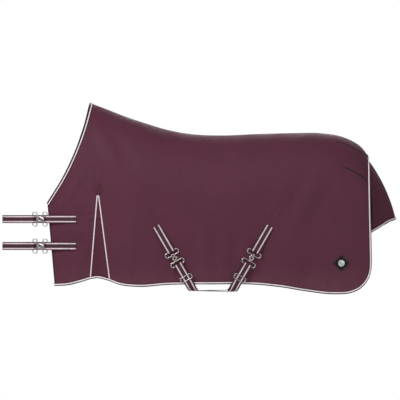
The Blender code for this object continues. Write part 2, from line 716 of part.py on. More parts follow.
def make_slider(name, place):
    """A three-bar slider: a ring over the webbing and a middle bar behind it. Local X runs along the strap."""
    lift = WEBBING_PLY / 2 + SLIDER_CLEARANCE + SLIDER_WIRE
    outer = [(x - SLIDER_DEPTH / 2, y, lift) for x, y, _ in ring_path(SLIDER_DEPTH, SLIDER_SPAN, RING_CORNER * 0.7)]
    ring = as_mesh(tube(name, outer, SLIDER_WIRE, STEEL, cyclic=True))
    half = SLIDER_SPAN / 2
    bend = [(half - 0.0001, lift + 0.0003), (half - SLIDER_BAR_BEND / 3, SLIDER_WIRE - lift),
            (half - SLIDER_BAR_BEND, -lift)]
    bar_path = [(0.0, -y, z) for y, z in bend] + [(0.0, y, z) for y, z in reversed(bend)]
    bar = helper(as_mesh(tube(name + "_bar", bar_path, SLIDER_BAR_WIRE, STEEL)))
    boolean(ring, bar, "UNION")
    for obj in (ring, bar):
        obj.matrix_world = place


# ---------------------------------------------------------------- webbing
LOOP_RADIUS = WIRE_RADIUS + BAR_CLEARANCE + WEBBING_PLY / 2


def loop_round_bar(bar, along, normal):
    """Middle of the ply from over the bar, round its far side, and back behind the strap. along points past the bar."""
    points = []
    for degrees in (90, 45, 0, -45, -90):
        a = math.radians(degrees)
        points.append(bar + along * LOOP_RADIUS * math.cos(a) + normal * LOOP_RADIUS * math.sin(a))
    for share in (LOOP_RETURN_KNEE, 1.0):
        points.append(bar - along * LOOP_RETURN * share - normal * LOOP_RETURN_DROP)
    return points


def strap(name, points, across, width, finish):
    """Webbing along points. across is the direction of its width, one for all points or one for each."""
    directions = across if isinstance(across, list) else [across] * len(points)
    pairs = [(p - d * width / 2, p + d * width / 2) for p, d in zip(points, directions)]
    return ribbon(name, pairs, finish, WEBBING_PLY)


def skin_y(side, x, z):
    """Distance of the outer cloth from the middle plane at that place of the side view."""
    hit = SKIN.ray_cast(Vector((x, side * 2.0, z)), Vector((0, -side, 0)))[0]
    return abs(hit.y)


class ChestLine:
    """The path of a chest strap on the near side: over the panel, straight past its clasp, and round to the front."""

    def __init__(self, z):
        self.z = z
        fore, aft = CHEST_SLOPE_FROM
        first, second = half_width(CHEST_X + fore, z), half_width(CHEST_X + aft, z)
        self.slope = math.atan2(second - first, aft - fore)
        self.start = Vector((CHEST_X, -first - CHEST_STAND_OFF, z))
        tan, sin, cos = math.tan(self.slope), math.sin(self.slope), math.cos(self.slope)
        turn = (1 - sin) / cos
        run = (CHEST_LOOP_REACH - turn * abs(self.start.y)) / (1 - turn * tan)
        self.forward = Vector((-cos, sin, 0))
        self.outward = Vector((-sin, -cos, 0))
        self.straight = run / cos
        self.bend_start = self.start + self.forward * self.straight
        self.radius = abs(self.bend_start.y) / cos
        self.front_x = self.bend_start.x - self.radius * (1 - sin)

    def ahead(self, distance):
        return self.start + self.forward * distance

    def bend(self, count):
        """From the end of the straight to the front of the loop, at the middle plane."""
        centre = self.bend_start - self.outward * self.radius
        points = []
        for i in range(1, count + 1):
            a = between(self.slope, math.pi / 2, i / count)
            points.append(centre + self.radius * Vector((-math.sin(a), -math.cos(a), 0)))
        return points

    def over_panel(self, side):
        """From the sewn end to the chest edge, on that side's panel."""
        points = []
        for share in (0.0, 0.25, 0.5, 0.75):
            x = CHEST_X + CHEST_STRAP_SEWN * (1 - share)
            lift = between(WEBBING_PLY / 2 + SEWN_LIFT, CHEST_STAND_OFF, min(1.0, share / 0.75) ** 1.5)
            skin = max(skin_y(NEAR, x, self.z + dz) for dz in (-CHEST_WEBBING / 2, 0, CHEST_WEBBING / 2))
            points.append(Vector((x, side * (skin + lift), self.z)))
        return points


def mirrored(points):
    return [Vector((p.x, -p.y, p.z)) for p in points]


def make_chest_strap(word, down):
    """One chest strap: the near length with its ring, the off length, and the end with the hook that folds open."""
    line = ChestLine(BACK_LINE - down)
    up = Vector((0, 0, 1))
    ring_bar = line.ahead(CHEST_RING_AHEAD) - line.outward * LOOP_RADIUS
    near = line.over_panel(NEAR) + loop_round_bar(ring_bar, line.forward, line.outward)
    strap(f"chest_strap_{word}_near", near, up, CHEST_WEBBING, WEBBING)
    make_ring(f"chest_ring_{word}", basis(ring_bar, line.forward, up, line.forward.cross(up)))

    bend = line.bend(6)
    hinge = bend[-1].copy()
    bend[-1] = bend[-1] + Vector((0, -HINGE_GAP / 2, 0))
    off = mirrored(line.over_panel(NEAR) + [line.start, line.bend_start] + bend)
    strap(f"chest_strap_{word}_off", off, up, CHEST_WEBBING, WEBBING)

    hook_bar_at = CHEST_RING_AHEAD + 2 * RING_DEPTH + CLASP_GAP
    hook_bar = line.ahead(hook_bar_at) - line.outward * LOOP_RADIUS
    end = bend[::-1] + [line.bend_start] + loop_round_bar(hook_bar, -line.forward, line.outward)
    moving = strap(f"chest_strap_{word}_end", end, up, CHEST_WEBBING, WEBBING)
    hang(moving, hinge_basis(hinge - Vector((WEBBING_PLY / 2, 0, 0)), -up))
    make_hook(f"chest_hook_{word}", basis(hook_bar, -line.forward, -up, line.outward))


class SurcingleSide:
    """One side of a surcingle, on the near side. way is 1 where it runs back as it goes down, -1 where forward."""

    def __init__(self, way, level):
        self.sewn = Vector((SURCINGLE_CROSSING - way * SURCINGLE_HALF_SPREAD, 0, BACK_LINE - SURCINGLE_SEWN_DOWN))
        self.down = Vector((way * math.cos(SURCINGLE_SLOPE), 0, -math.sin(SURCINGLE_SLOPE)))
        self.outward = Vector((0, -1, 0))
        self.across = self.outward.cross(self.down).normalized()
        self.way, self.level = way, level
        self.plane = self.skin_at(SURCINGLE_RING_AT) + SURCINGLE_STAND_OFF
        hem_z = HEM_REAR_CURVE(0.5)[1]
        self.turn_at = (self.sewn.z - hem_z + SURCINGLE_BELOW_HEM) / math.sin(SURCINGLE_SLOPE)

    def skin_at(self, distance):
        """The furthest out that the cloth comes under the webbing, that far down the strap."""
        half = SURCINGLE_WEBBING / 2
        spots = [self.sewn + self.down * distance + self.across * s for s in (-half, 0, half)]
        return max(skin_y(NEAR, p.x, p.z) for p in spots)

    def at(self, distance):
        point = self.sewn + self.down * distance
        point.y = -self.plane
        return point

    def sewn_part(self):
        points = []
        for share in (0.0, 0.3, 0.6, 0.85):
            distance = SURCINGLE_RING_AT * share
            point = self.sewn + self.down * distance
            surface = self.skin_at(distance) + WEBBING_PLY / 2 + SEWN_LIFT
            point.y = -max(surface, between(surface, self.plane, share**1.5))
            points.append(point)
        return points

    def turn(self, start):
        """From just under the hem, round the turn and across to the middle of the belly: (points, normals)."""
        centre = Vector((0, -self.plane + SURCINGLE_TURN, start.z))
        points, normals = [start], [self.outward]
        for degrees in (22.5, 45, 67.5, 90):
            a = math.radians(degrees)
            normal = Vector((0, -math.cos(a), -math.sin(a)))
            point = centre + normal * (SURCINGLE_TURN + self.level * degrees / 90)
            point.x = start.x + self.way * math.cos(SURCINGLE_SLOPE) * SURCINGLE_TURN * a
            points.append(point)
            normals.append(normal)
        last = points[-1]
        run = SURCINGLE_CROSSING - last.x
        for share in (0.25, 0.5, 0.75, 1.0):
            ease = 1.35 * share - 0.35 * share**2
            points.append(Vector((last.x + run * ease, last.y * (1 - share), last.z)))
            normals.append(Vector((0, 0, -1)))
        return points, normals


def to_off_side(vector):
    return Vector((vector.x, -vector.y, vector.z))


def make_surcingle(word, way, level):
    """One surcingle: the near side with its clasp and slider, and the length under the belly to the off side."""
    near, off = SurcingleSide(way, level), SurcingleSide(-way, level)
    down, across, outward = near.down, near.across, near.outward
    ring_bar = near.at(SURCINGLE_RING_AT) - outward * LOOP_RADIUS
    anchor = near.sewn_part() + loop_round_bar(ring_bar, down, outward)
    strap(f"surcingle_{word}_anchor", anchor, across, SURCINGLE_WEBBING, WEBBING)
    make_ring(f"surcingle_{word}_ring", basis(ring_bar, down, across, down.cross(across)))

    hook_bar = near.at(SURCINGLE_RING_AT + 2 * RING_DEPTH + CLASP_GAP) - outward * LOOP_RADIUS
    end = [near.at(near.turn_at - HINGE_GAP / 2)] + loop_round_bar(hook_bar, -down, outward)
    moving = strap(f"surcingle_{word}_end", end, across, SURCINGLE_WEBBING, WEBBING)
    make_hook(f"surcingle_{word}_hook", basis(hook_bar, -down, -across, outward))
    slider_at = near.at(near.turn_at - SLIDER_FROM_TURN)
    make_slider(f"surcingle_{word}_slider", basis(slider_at, down, across, down.cross(across)))

    start = near.at(near.turn_at + HINGE_GAP / 2)
    points, normals = near.turn(start)
    off_points, off_normals = off.turn(off.at(near.turn_at))
    off_points = off.sewn_part() + [off.at(SURCINGLE_RING_AT), off.at(near.turn_at * 0.8)] + off_points
    off_normals = [outward] * 6 + off_normals
    path = points + [to_off_side(p) for p in off_points[-2::-1]]
    path_normals = normals + [to_off_side(n) for n in off_normals[-2::-1]]
    directions = []
    for i, normal in enumerate(path_normals):
        tangent = path[min(i + 1, len(path) - 1)] - path[max(i - 1, 0)]
        directions.append(normal.cross(tangent).normalized())
    directions[0] = across
    strap(f"surcingle_{word}_belly", path, directions, SURCINGLE_WEBBING, WEBBING)
    hang(moving, hinge_basis(start + outward * WEBBING_PLY / 2, outward.cross(down).normalized()))


# ---------------------------------------------------------------- label
def make_label():
    """A blank diamond label near the rear corner, with a plain round badge on it."""
    x, down = LABEL_AT
    z = BACK_LINE - down
    reach = LABEL_HALF_DIAGONAL
    corners = [(x, z + reach), (x + reach, z), (x, z - reach), (x - reach, z)]
    centre = Vector((x, -skin_y(NEAR, x, z), z))
    spots = [Vector((cx, -skin_y(NEAR, cx, cz), cz)) for cx, cz in corners]
    normal = (spots[0] - spots[2]).cross(spots[1] - spots[3]).normalized()
    normal = normal if normal.y < 0 else -normal
    side_axis = Vector((1, 0, 0))
    up_axis = normal.cross(side_axis).normalized()
    side_axis = up_axis.cross(normal).normalized()
    proud = max(0.0, max((spot - centre).dot(normal) for spot in spots)) + 2 * PLY_GAP
    diamond = [(reach, 0), (0, reach), (-reach, 0), (0, -reach)]
    label = prism("label_patch", diamond, proud, proud + LABEL_PLY, LABEL)
    label.matrix_world = basis(centre, side_axis, up_axis, normal)
    bm = bmesh.new()
    base = proud + LABEL_PLY + PLY_GAP
    bmesh.ops.create_cone(bm, cap_ends=True, segments=24, radius1=BADGE_RADIUS, radius2=BADGE_RADIUS * 0.9,
                          depth=BADGE_HEIGHT, matrix=Matrix.Translation((0, 0, base + BADGE_HEIGHT / 2)))
    mesh = bpy.data.meshes.new("label_badge")
    bm.to_mesh(mesh)
    bm.free()
    badge = add_object("label_badge", mesh, STEEL)
    badge.matrix_world = basis(centre, side_axis, up_axis, normal)


# ---------------------------------------------------------------- build
clear_scene()
PARTS = new_collection("turnout_rug")
CUTTERS = new_collection("cutters")

OUTER_FABRIC = material("outer_fabric", (0.090, 0.027, 0.047), 0.75)
WADDING_FILL = material("wadding_fill", (0.80, 0.80, 0.78), 0.95)
LINING_FABRIC = material("lining_fabric", (0.030, 0.014, 0.019), 0.55)
BINDING_TAPE = material("binding_tape", (0.022, 0.010, 0.014), 0.80)
PIPING_CORD = material("piping_cord", (0.78, 0.62, 0.67), 0.60)
WEBBING = material("webbing", (0.075, 0.022, 0.040), 0.80)
STEEL = material("steel", (0.62, 0.62, 0.61), 0.28, 1.0)
LABEL = material("label", (0.018, 0.012, 0.014), 0.70)

rug_ply("outer_shell", OUTER_FABRIC, OUTER_CLOTH, 0.0)
rug_ply("wadding", WADDING_FILL, WADDING, OUTER_CLOTH + PLY_GAP)
rug_ply("lining", LINING_FABRIC, LINING_CLOTH, OUTER_CLOTH + WADDING + 2 * PLY_GAP)
SKIN = skin_tree()

make_edges()
for rug_side, side_word in ((NEAR, "near"), (OFF, "off")):
    make_gusset(rug_side, side_word)
    make_darts(rug_side, side_word)
make_flap()
for strap_word, strap_down in zip(("upper", "lower"), CHEST_STRAP_DOWN):
    make_chest_strap(strap_word, strap_down)
make_surcingle("front", 1, 0.0)
make_surcingle("rear", -1, BELLY_STACK)
make_label()
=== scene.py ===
"""Turnout rug for a horse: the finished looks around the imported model.

The rug stands in the shape it takes on a horse. +X runs to the tail, +Z up, and the near (left) side is -Y.
Everything is in metres. Laid out as a Blender add-on, and run as a script.
"""

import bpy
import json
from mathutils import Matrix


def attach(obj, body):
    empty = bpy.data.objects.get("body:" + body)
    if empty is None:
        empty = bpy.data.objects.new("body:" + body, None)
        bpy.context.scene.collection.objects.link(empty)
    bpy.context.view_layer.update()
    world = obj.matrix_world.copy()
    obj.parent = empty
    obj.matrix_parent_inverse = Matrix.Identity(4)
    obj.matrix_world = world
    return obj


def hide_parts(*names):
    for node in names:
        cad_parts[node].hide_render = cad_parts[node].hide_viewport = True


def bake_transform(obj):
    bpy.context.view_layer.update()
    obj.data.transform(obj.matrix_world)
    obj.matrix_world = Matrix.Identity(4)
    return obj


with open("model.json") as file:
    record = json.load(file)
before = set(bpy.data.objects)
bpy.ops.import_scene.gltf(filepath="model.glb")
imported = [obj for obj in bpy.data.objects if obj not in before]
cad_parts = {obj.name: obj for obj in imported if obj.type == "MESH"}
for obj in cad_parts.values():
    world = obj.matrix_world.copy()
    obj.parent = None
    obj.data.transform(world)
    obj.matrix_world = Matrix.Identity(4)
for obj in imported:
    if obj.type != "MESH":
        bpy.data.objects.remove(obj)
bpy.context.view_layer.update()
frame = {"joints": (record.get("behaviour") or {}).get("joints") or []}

import json
import math

import bmesh
import bpy
import numpy as np
from bpy.props import FloatProperty, FloatVectorProperty, PointerProperty
from mathutils import Vector
from mathutils.kdtree import KDTree

bl_info = {
    "name": "Turnout Rug",
    "version": (1, 0, 0),
    "blender": (4, 5, 0),
    "location": "3D Viewport > Sidebar > Turnout Rug",
    "description": "Builds a horse's turnout rug with its straps, clasps, piping and tail flap",
    "category": "Object",
}

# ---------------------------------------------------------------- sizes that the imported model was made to, in metres
RUG_LENGTH = 1.614
RUG_DROP = 0.789
BARREL_HALF_WIDTH = 0.292
HEM_DRAW_IN = 0.018
OUTER_CLOTH = 0.0012
WADDING = 0.0080
LINING_CLOTH = 0.0010
PLY_GAP = 0.0004
STACK = OUTER_CLOTH + WADDING + LINING_CLOTH + 2 * PLY_GAP
BACK_LINE = STACK
CHEST_X = -0.860
NEAR, OFF = -1, 1
SIDES = ((NEAR, "near"), (OFF, "off"))

CHEST_WEBBING = 0.040
SURCINGLE_WEBBING = 0.045
WEBBING_PLY = 0.0022
LOOP_RETURN = 0.026  # webbing sewn back behind itself past a bar
WIRE_RADIUS = 0.0025
RING_SPAN = 0.071
RING_DEPTH = 0.022
RING_CORNER = 0.0075
LOOP_RADIUS = WIRE_RADIUS + 0.0006 + WEBBING_PLY / 2
CLASP_GAP = 0.033
HOOK_PLATE = 0.0030
HOOK_NECK = 0.012
HOOK_HEAD = 0.026
HOOK_EYE_RADIUS = 0.0052
HOOK_PLAY = 0.0020
HOOK_FACE_GAP = 0.0009
HOOK_LIP_REACH = 0.0006

CHEST_STRAP_DOWN = {"upper": 0.420, "lower": 0.555}
CHEST_STRAP_SEWN = 0.139
CHEST_LOOP_REACH = 0.231
CHEST_RING_AHEAD = 0.008
CHEST_SLOPE_FROM = (0.012, 0.0765)
CHEST_STAND_OFF = 0.0076

SURCINGLE_SLOPE = math.radians(60)
SURCINGLE_HALF_SPREAD = 0.284
SURCINGLE_CROSSING = -0.035
SURCINGLE_SEWN_DOWN = 0.455
SURCINGLE_RING_AT = 0.146
SURCINGLE_STAND_OFF = 0.0100
SURCINGLE_TURN = 0.035
SURCINGLE_BELOW_HEM = 0.003
BELLY_STACK = 0.0040
SLIDER_WIRE = 0.0020
SLIDER_BAR_WIRE = 0.0018
SLIDER_DEPTH = 0.023
SLIDER_SPAN = 0.061
SLIDER_FROM_TURN = 0.032
SLIDER_CLEARANCE = 0.0005

FLAP_HALF_WIDTH = 0.190
FLAP_TOP_HALF_WIDTH = 0.160
FLAP_REACH = 0.135
FLAP_DROP = 0.295
FLAP_SWEEP = 0.122
FLAP_SIDE_DROP = 0.066
FLAP_TUCK = 0.0075
FLAP_SEAM_BOW = 0.010
FLAP_BULGE = 0.38
FLAP_ROUNDING = 0.20
FLAP_CLOTH = 0.0012
FLAP_LINING = 0.0010

LABEL_AT = (0.607, 0.640)
LABEL_HALF_DIAGONAL = 0.0410
LABEL_PLY = 0.0012
BADGE_RADIUS = 0.0165

# Outlines of the pattern: (share of the length behind the chest edge, share of the drop below the back line).
TOPLINE = [
    (0.133, -0.204), (0.189, -0.160), (0.245, -0.116), (0.300, -0.078), (0.373, -0.034), (0.447, -0.008),
    (0.533, 0.000), (0.650, -0.009), (0.762, -0.015), (0.850, -0.014), (0.909, 0.006), (0.946, 0.037),
    (0.974, 0.078), (0.993, 0.128),
]
NECK_CREST = (-0.010, -0.320)
NECKLINE = [(0.000, 0.430), (0.050, 0.264), (0.087, 0.103), (0.115, -0.059), (0.133, -0.204)]
CHEST_FOOT = (0.022, 0.949)
GUSSET_POINT = (0.1547, 0.390)
GUSSET_FOOT_FRONT = (0.1313, 0.904)
GUSSET_FOOT_REAR = (0.1910, 0.917)
HEM_FRONT = [CHEST_FOOT, (0.059, 0.944), (0.096, 0.926), GUSSET_FOOT_FRONT]
HEM_GUSSET = [GUSSET_FOOT_FRONT, (0.1547, 0.899), GUSSET_FOOT_REAR]
HEM_REAR = [
    GUSSET_FOOT_REAR, (0.221, 0.940), (0.272, 0.953), (0.370, 0.941), (0.512, 0.937), (0.650, 0.940),
    (0.725, 0.956), (0.799, 0.981), (0.890, 1.000), (0.938, 0.992), (0.966, 0.966), (0.985, 0.925),
    (0.997, 0.870), (1.000, 0.800),
]
DARTS = {"upper": ((0.892, 0.036), (0.984, 0.124)), "lower": ((0.909, 0.200), (0.986, 0.284))}
DART_BOW = 0.010
GUSSET_HAIRPIN = 0.0042
WIDTH_SHARE = [(0.0, 0.565), (0.06, 0.69), (0.133, 0.795), (0.25, 0.893), (0.40, 0.972), (0.55, 1.0),
               (0.75, 0.993), (0.88, 0.955), (0.95, 0.900), (1.0, 0.838)]
WIDEST_DOWN = [(0.0, 0.566), (0.133, 0.545), (0.30, 0.453), (0.55, 0.415), (0.80, 0.377), (1.0, 0.352)]
ROUNDNESS = [(0.0, 2.00), (0.133, 2.00), (0.30, 2.00), (0.55, 2.10), (0.85, 2.30), (1.0, 2.20)]

# ---------------------------------------------------------------- finishing sizes, in metres
TAPE_PLY = 0.0009
TAPE_PROUD = 0.0012  # how far a binding stands over the faces it covers
NECK_TAPE = (-0.0105, 0.0090)  # how far it reaches from the plies' edge, inwards and outwards
HEM_TAPE = (-0.0070, 0.0074)
CHEST_TAPE = (-0.0030, 0.0065)
FLAP_SIDE_TAPE = (-0.0060, 0.0018)
PIPING_RADIUS = 0.0031
NECK_PIPING_OUT = -0.0045  # where the cord's middle lies, outwards from the plies' edge
HEM_PIPING_OUT = -0.0012
PIPING_SEAT = 0.0014  # height of the cord's middle over what it's sewn to
DART_RADIUS = 0.0032
WADDING_CELL = 0.0125
WADDING_SLACK = 0.0018  # room over and under the wadding, so that it never shows through a crease
LINING_CELL = 0.0125
CORD_SIDES = 10
BADGE_SIDES = 64
LABEL_SIDES = 96
WIRE_SIDES = 14
STRAP_STEP = 0.004
THREAD_SEAT = 0.0002  # height of a row of stitches over what it's sewn to
STRAP_LIFT = WEBBING_PLY / 2 + 0.0003  # from the middle of the webbing to its stitches
NECK_ROW, HEM_ROW, CHEST_ROW, FLAP_SIDE_ROW = -0.0090, -0.0056, -0.0015, -0.0044  # from the plies' edge
EDGE_OVERRUN = 0.0055  # how far a binding runs past the ends of its edge
CHEST_BOX, SURCINGLE_BOX = 0.034, 0.038  # length of the box stitch at a strap's sewn end
CHEST_BAR_ROW, SURCINGLE_BAR_ROW = 0.016, 0.018  # half length of a row of stitches beside a bar
BAR_ROWS = (0.013, 0.021)  # distance from the bar to each row
MERGE = 1e-5
FINE_MERGE = 1e-6
SENSOR_WIDTH = 36.0  # of the camera, in millimetres
VIEW_MIDDLE = (-0.10, -0.25, -0.3132)  # what the camera looks at, on the near side
LIGHTS_AIM = (-0.05, 0.0, -0.35)
LIGHTS = (  # name, place, size, power in watts
    ("key_light", (-3.3, -3.6, 2.9), 2.4, 265.0),
    ("fill_light", (3.2, -3.8, 0.8), 3.0, 62.0),
    ("back_light", (0.6, 4.4, 1.6), 2.8, 70.0),
)


# ---------------------------------------------------------------- settings in the sidebar
def hex_to_linear(colour):
    """The linear RGBA of an sRGB hex colour."""
    channels = [int(colour[i:i + 2], 16) / 255 for i in (1, 3, 5)]
    return (*[c / 12.92 if c <= 0.04045 else ((c + 0.055) / 1.055) ** 2.4 for c in channels], 1.0)


def colour_property(name, description, colour):
    return FloatVectorProperty(name=name, description=description, default=hex_to_linear(colour), size=4,
                               min=0.0, max=1.0, subtype="COLOR")


def length_property(name, description, default):
    return FloatProperty(name=name, description=description, default=default, min=0.0, unit="LENGTH",
                         subtype="DISTANCE", precision=5)


class RugClothSettings(bpy.types.PropertyGroup):
    """Cloth of the rug and the tail flap."""

    outer_colour: colour_property("Outer cloth", "Colour of the coated outer cloth", "#4E2234")
    gusset_colour: colour_property("Gusset cloth", "Colour of the inserts behind the shoulders", "#491E2E")
    flap_colour: colour_property("Tail flap cloth", "Colour of the tail flap's outer cloth", "#4A1C2D")
    lining_colour: colour_property("Lining", "Colour of the nylon lining", "#301822")
    cell: length_property("Mesh cell", "Size of one mesh cell of the outer cloth", 0.0095)
    drape: length_property("Drape", "Depth of the soft folds towards the hem", 0.0095)
    crease: length_property("Crease", "Height of the creases where straps and seams pull", 0.0024)
    thread: length_property("Thread spacing", "Spacing of the outer cloth's threads", 0.0011)
    ripstop: length_property("Ripstop spacing", "Spacing of the outer cloth's thicker threads", 0.0075)


class RugTrimSettings(bpy.types.PropertyGroup):
    """Bindings, piping, webbing and thread."""

    light_colour: colour_property("Light trim", "Colour of the piping cords", "#E9DAE0")
    dark_colour: colour_property("Dark trim", "Colour of the binding tapes", "#1E0C13")
    webbing_colour: colour_property("Webbing", "Ground colour of the straps", "#3C2129")
    stripe_colour: colour_property("Webbing stripes", "Colour of the two woven stripes", "#D6BFC9")
    label_colour: colour_property("Label", "Ground colour of the woven label", "#120B0D")
    stitch_pitch: length_property("Stitch pitch", "Distance from one stitch to the next", 0.0042)
    stitch_length: length_property("Stitch length", "Length of the thread seen in one stitch", 0.0031)
    thread_radius: length_property("Thread radius", "Half of the sewing thread's thickness", 0.00050)
    stripe_spacing: length_property("Stripe spacing", "From the middle of one stripe to the other's", 0.0250)
    stripe_width: length_property("Stripe width", "Width of one woven stripe", 0.0062)


class RugMetalSettings(bpy.types.PropertyGroup):
    """Clasps, sliders and badge."""

    steel_colour: colour_property("Nickel", "Colour of the nickel plating", "#B9B6B2")
    badge_colour: colour_property("Badge", "Colour of the plain round badge", "#C9CBCD")
    edge_round: length_property("Edge rounding", "Rounding of the hook plate's edges", 0.0005)


class RugStudioSettings(bpy.types.PropertyGroup):
    """Floor, lights and camera."""

    floor_drop: length_property("Ground under the back", "Height of the back line over the ground", 1.45)
    lens: FloatProperty(name="Lens", description="Focal length of the camera; long, for a flat side view",
                        default=1200.0, unit="CAMERA")
    air: FloatProperty(name="Air", description="Soft light from all round", default=0.38, min=0.0)
    view_width: length_property("View width", "Width of the view at the near side", 2.0)


def settings(group):
    return getattr(bpy.context.scene, "turnout_rug_" + group)


# ---------------------------------------------------------------- lines and the body's shape
def smooth_line(points):
    """A smooth function through (x, value) points, with slopes taken from each point's neighbours."""
    xs, ys = (np.array(values, float) for values in zip(*points))
    slopes = np.gradient(ys, xs)

    def value(x):
        x = np.clip(x, xs[0], xs[-1])
        i = np.clip(np.searchsorted(xs, x, side="right") - 1, 0, len(xs) - 2)
        step = xs[i + 1] - xs[i]
        t = (x - xs[i]) / step
        start = (2 * t**3 - 3 * t**2 + 1) * ys[i] + (t**3 - 2 * t**2 + t) * step * slopes[i]
        return start + (3 * t**2 - 2 * t**3) * ys[i + 1] + (t**3 - t**2) * step * slopes[i + 1]

    return value


def between(a, b, share):
    return a + (b - a) * share


def ramp(low, high, x):
    """0 below low, 1 above high, and a smooth rise between."""
    t = np.clip((x - low) / (high - low), 0.0, 1.0)
    return t * t * (3 - 2 * t)


def pattern_point(share):
    """An outline point as (x, z) in metres."""
    return np.array((CHEST_X + share[0] * RUG_LENGTH, BACK_LINE - share[1] * RUG_DROP))


def outline(shares):
    """A smooth curve through outline points: a function of 0 to 1 that gives (x, z)."""
    points = np.array([pattern_point(share) for share in shares])
    along = np.concatenate([[0], np.cumsum(np.linalg.norm(np.diff(points, axis=0), axis=1))])
    along /= along[-1]
    x_of, z_of = (smooth_line(list(zip(along, points[:, k]))) for k in (0, 1))
    return lambda t: np.stack([x_of(t), z_of(t)], -1)


width_share = smooth_line(WIDTH_SHARE)
widest_down = smooth_line(WIDEST_DOWN)
roundness = smooth_line(ROUNDNESS)
crest_line = smooth_line([pattern_point(share) for share in [NECK_CREST, *TOPLINE]])
neckline = outline(NECKLINE)
hem_front = outline(HEM_FRONT)
hem_gusset = outline(HEM_GUSSET)
hem_rear = outline(HEM_REAR)


def half_width(x, z):
    """Half of the rug's width at places of its side view."""
    along = (x - CHEST_X) / RUG_LENGTH
    widest = BARREL_HALF_WIDTH * width_share(along)
    widest_at = RUG_DROP * widest_down(along)
    power = roundness(along)
    depth = np.maximum(crest_line(x) - z, 0.0)
    rise = np.clip(1 - depth / widest_at, 0.0, 1.0)
    below = np.maximum(depth - widest_at, 0.0) / (RUG_DROP - widest_at)
    return widest * (1 - rise**power) ** (1 / power) - HEM_DRAW_IN * below**2


def along_crest(t):
    """The back line from the withers to the dock, as (x, z)."""
    x = between(pattern_point(TOPLINE[0])[0], pattern_point(TOPLINE[-1])[0], np.asarray(t, float))
    return np.stack([x, crest_line(x)], -1)


def along_neck(u):
    """The neckline, with its steps closing up where it meets the crest."""
    return neckline(between(u, np.sin(math.pi / 2 * np.asarray(u, float)), 0.75))


# ---------------------------------------------------------------- straps: where they run
class ChestLine:
    """The path of a chest strap on the near side: over the panel, straight past its clasp, round to the front."""

    def __init__(self, word):
        self.z = BACK_LINE - CHEST_STRAP_DOWN[word]
        fore, aft = CHEST_SLOPE_FROM
        first, second = half_width(CHEST_X + fore, self.z), half_width(CHEST_X + aft, self.z)
        slope = math.atan2(second - first, aft - fore)
        self.slope = slope
        self.start = np.array((CHEST_X, -first - CHEST_STAND_OFF, self.z))
        tan, sin, cos = math.tan(slope), math.sin(slope), math.cos(slope)
        turn = (1 - sin) / cos
        run = (CHEST_LOOP_REACH - turn * abs(self.start[1])) / (1 - turn * tan)
        self.forward = np.array((-cos, sin, 0.0))
        self.outward = np.array((-sin, -cos, 0.0))
        self.across = np.array((0.0, 0.0, 1.0))
        self.straight = run / cos
        self.bend_start = self.start + self.forward * self.straight
        self.radius = abs(self.bend_start[1]) / cos
        self.ring_bar = self.ahead(CHEST_RING_AHEAD) - self.outward * LOOP_RADIUS
        self.hook_bar = self.ahead(CHEST_RING_AHEAD + 2 * RING_DEPTH + CLASP_GAP) - self.outward * LOOP_RADIUS

    def ahead(self, distance):
        return self.start + self.forward * distance

    def bend(self):
        """From the end of the straight to the front of the loop, at the middle plane."""
        centre = self.bend_start - self.outward * self.radius
        angles = np.linspace(self.slope, math.pi / 2, 32)[1:]
        return [centre + self.radius * np.array((-math.sin(a), -math.cos(a), 0.0)) for a in angles]

    def over_panel(self, side):
        """From the sewn end to the chest edge, lying on that side's panel and rising to the clasp."""
        points = []
        lift_at_edge = -self.start[1] - cloth_width(side, CHEST_X, self.z)
        for share in np.linspace(0.0, 0.99, 34):
            x = CHEST_X + CHEST_STRAP_SEWN * (1 - share)
            skin = max(cloth_width(side, x, self.z + dz) for dz in (-CHEST_WEBBING / 2, 0, CHEST_WEBBING / 2))
            lift = between(WEBBING_PLY / 2 + 0.0003, lift_at_edge, share**2.2)
            points.append(np.array((x, NEAR * (skin + lift), self.z)))
        return points


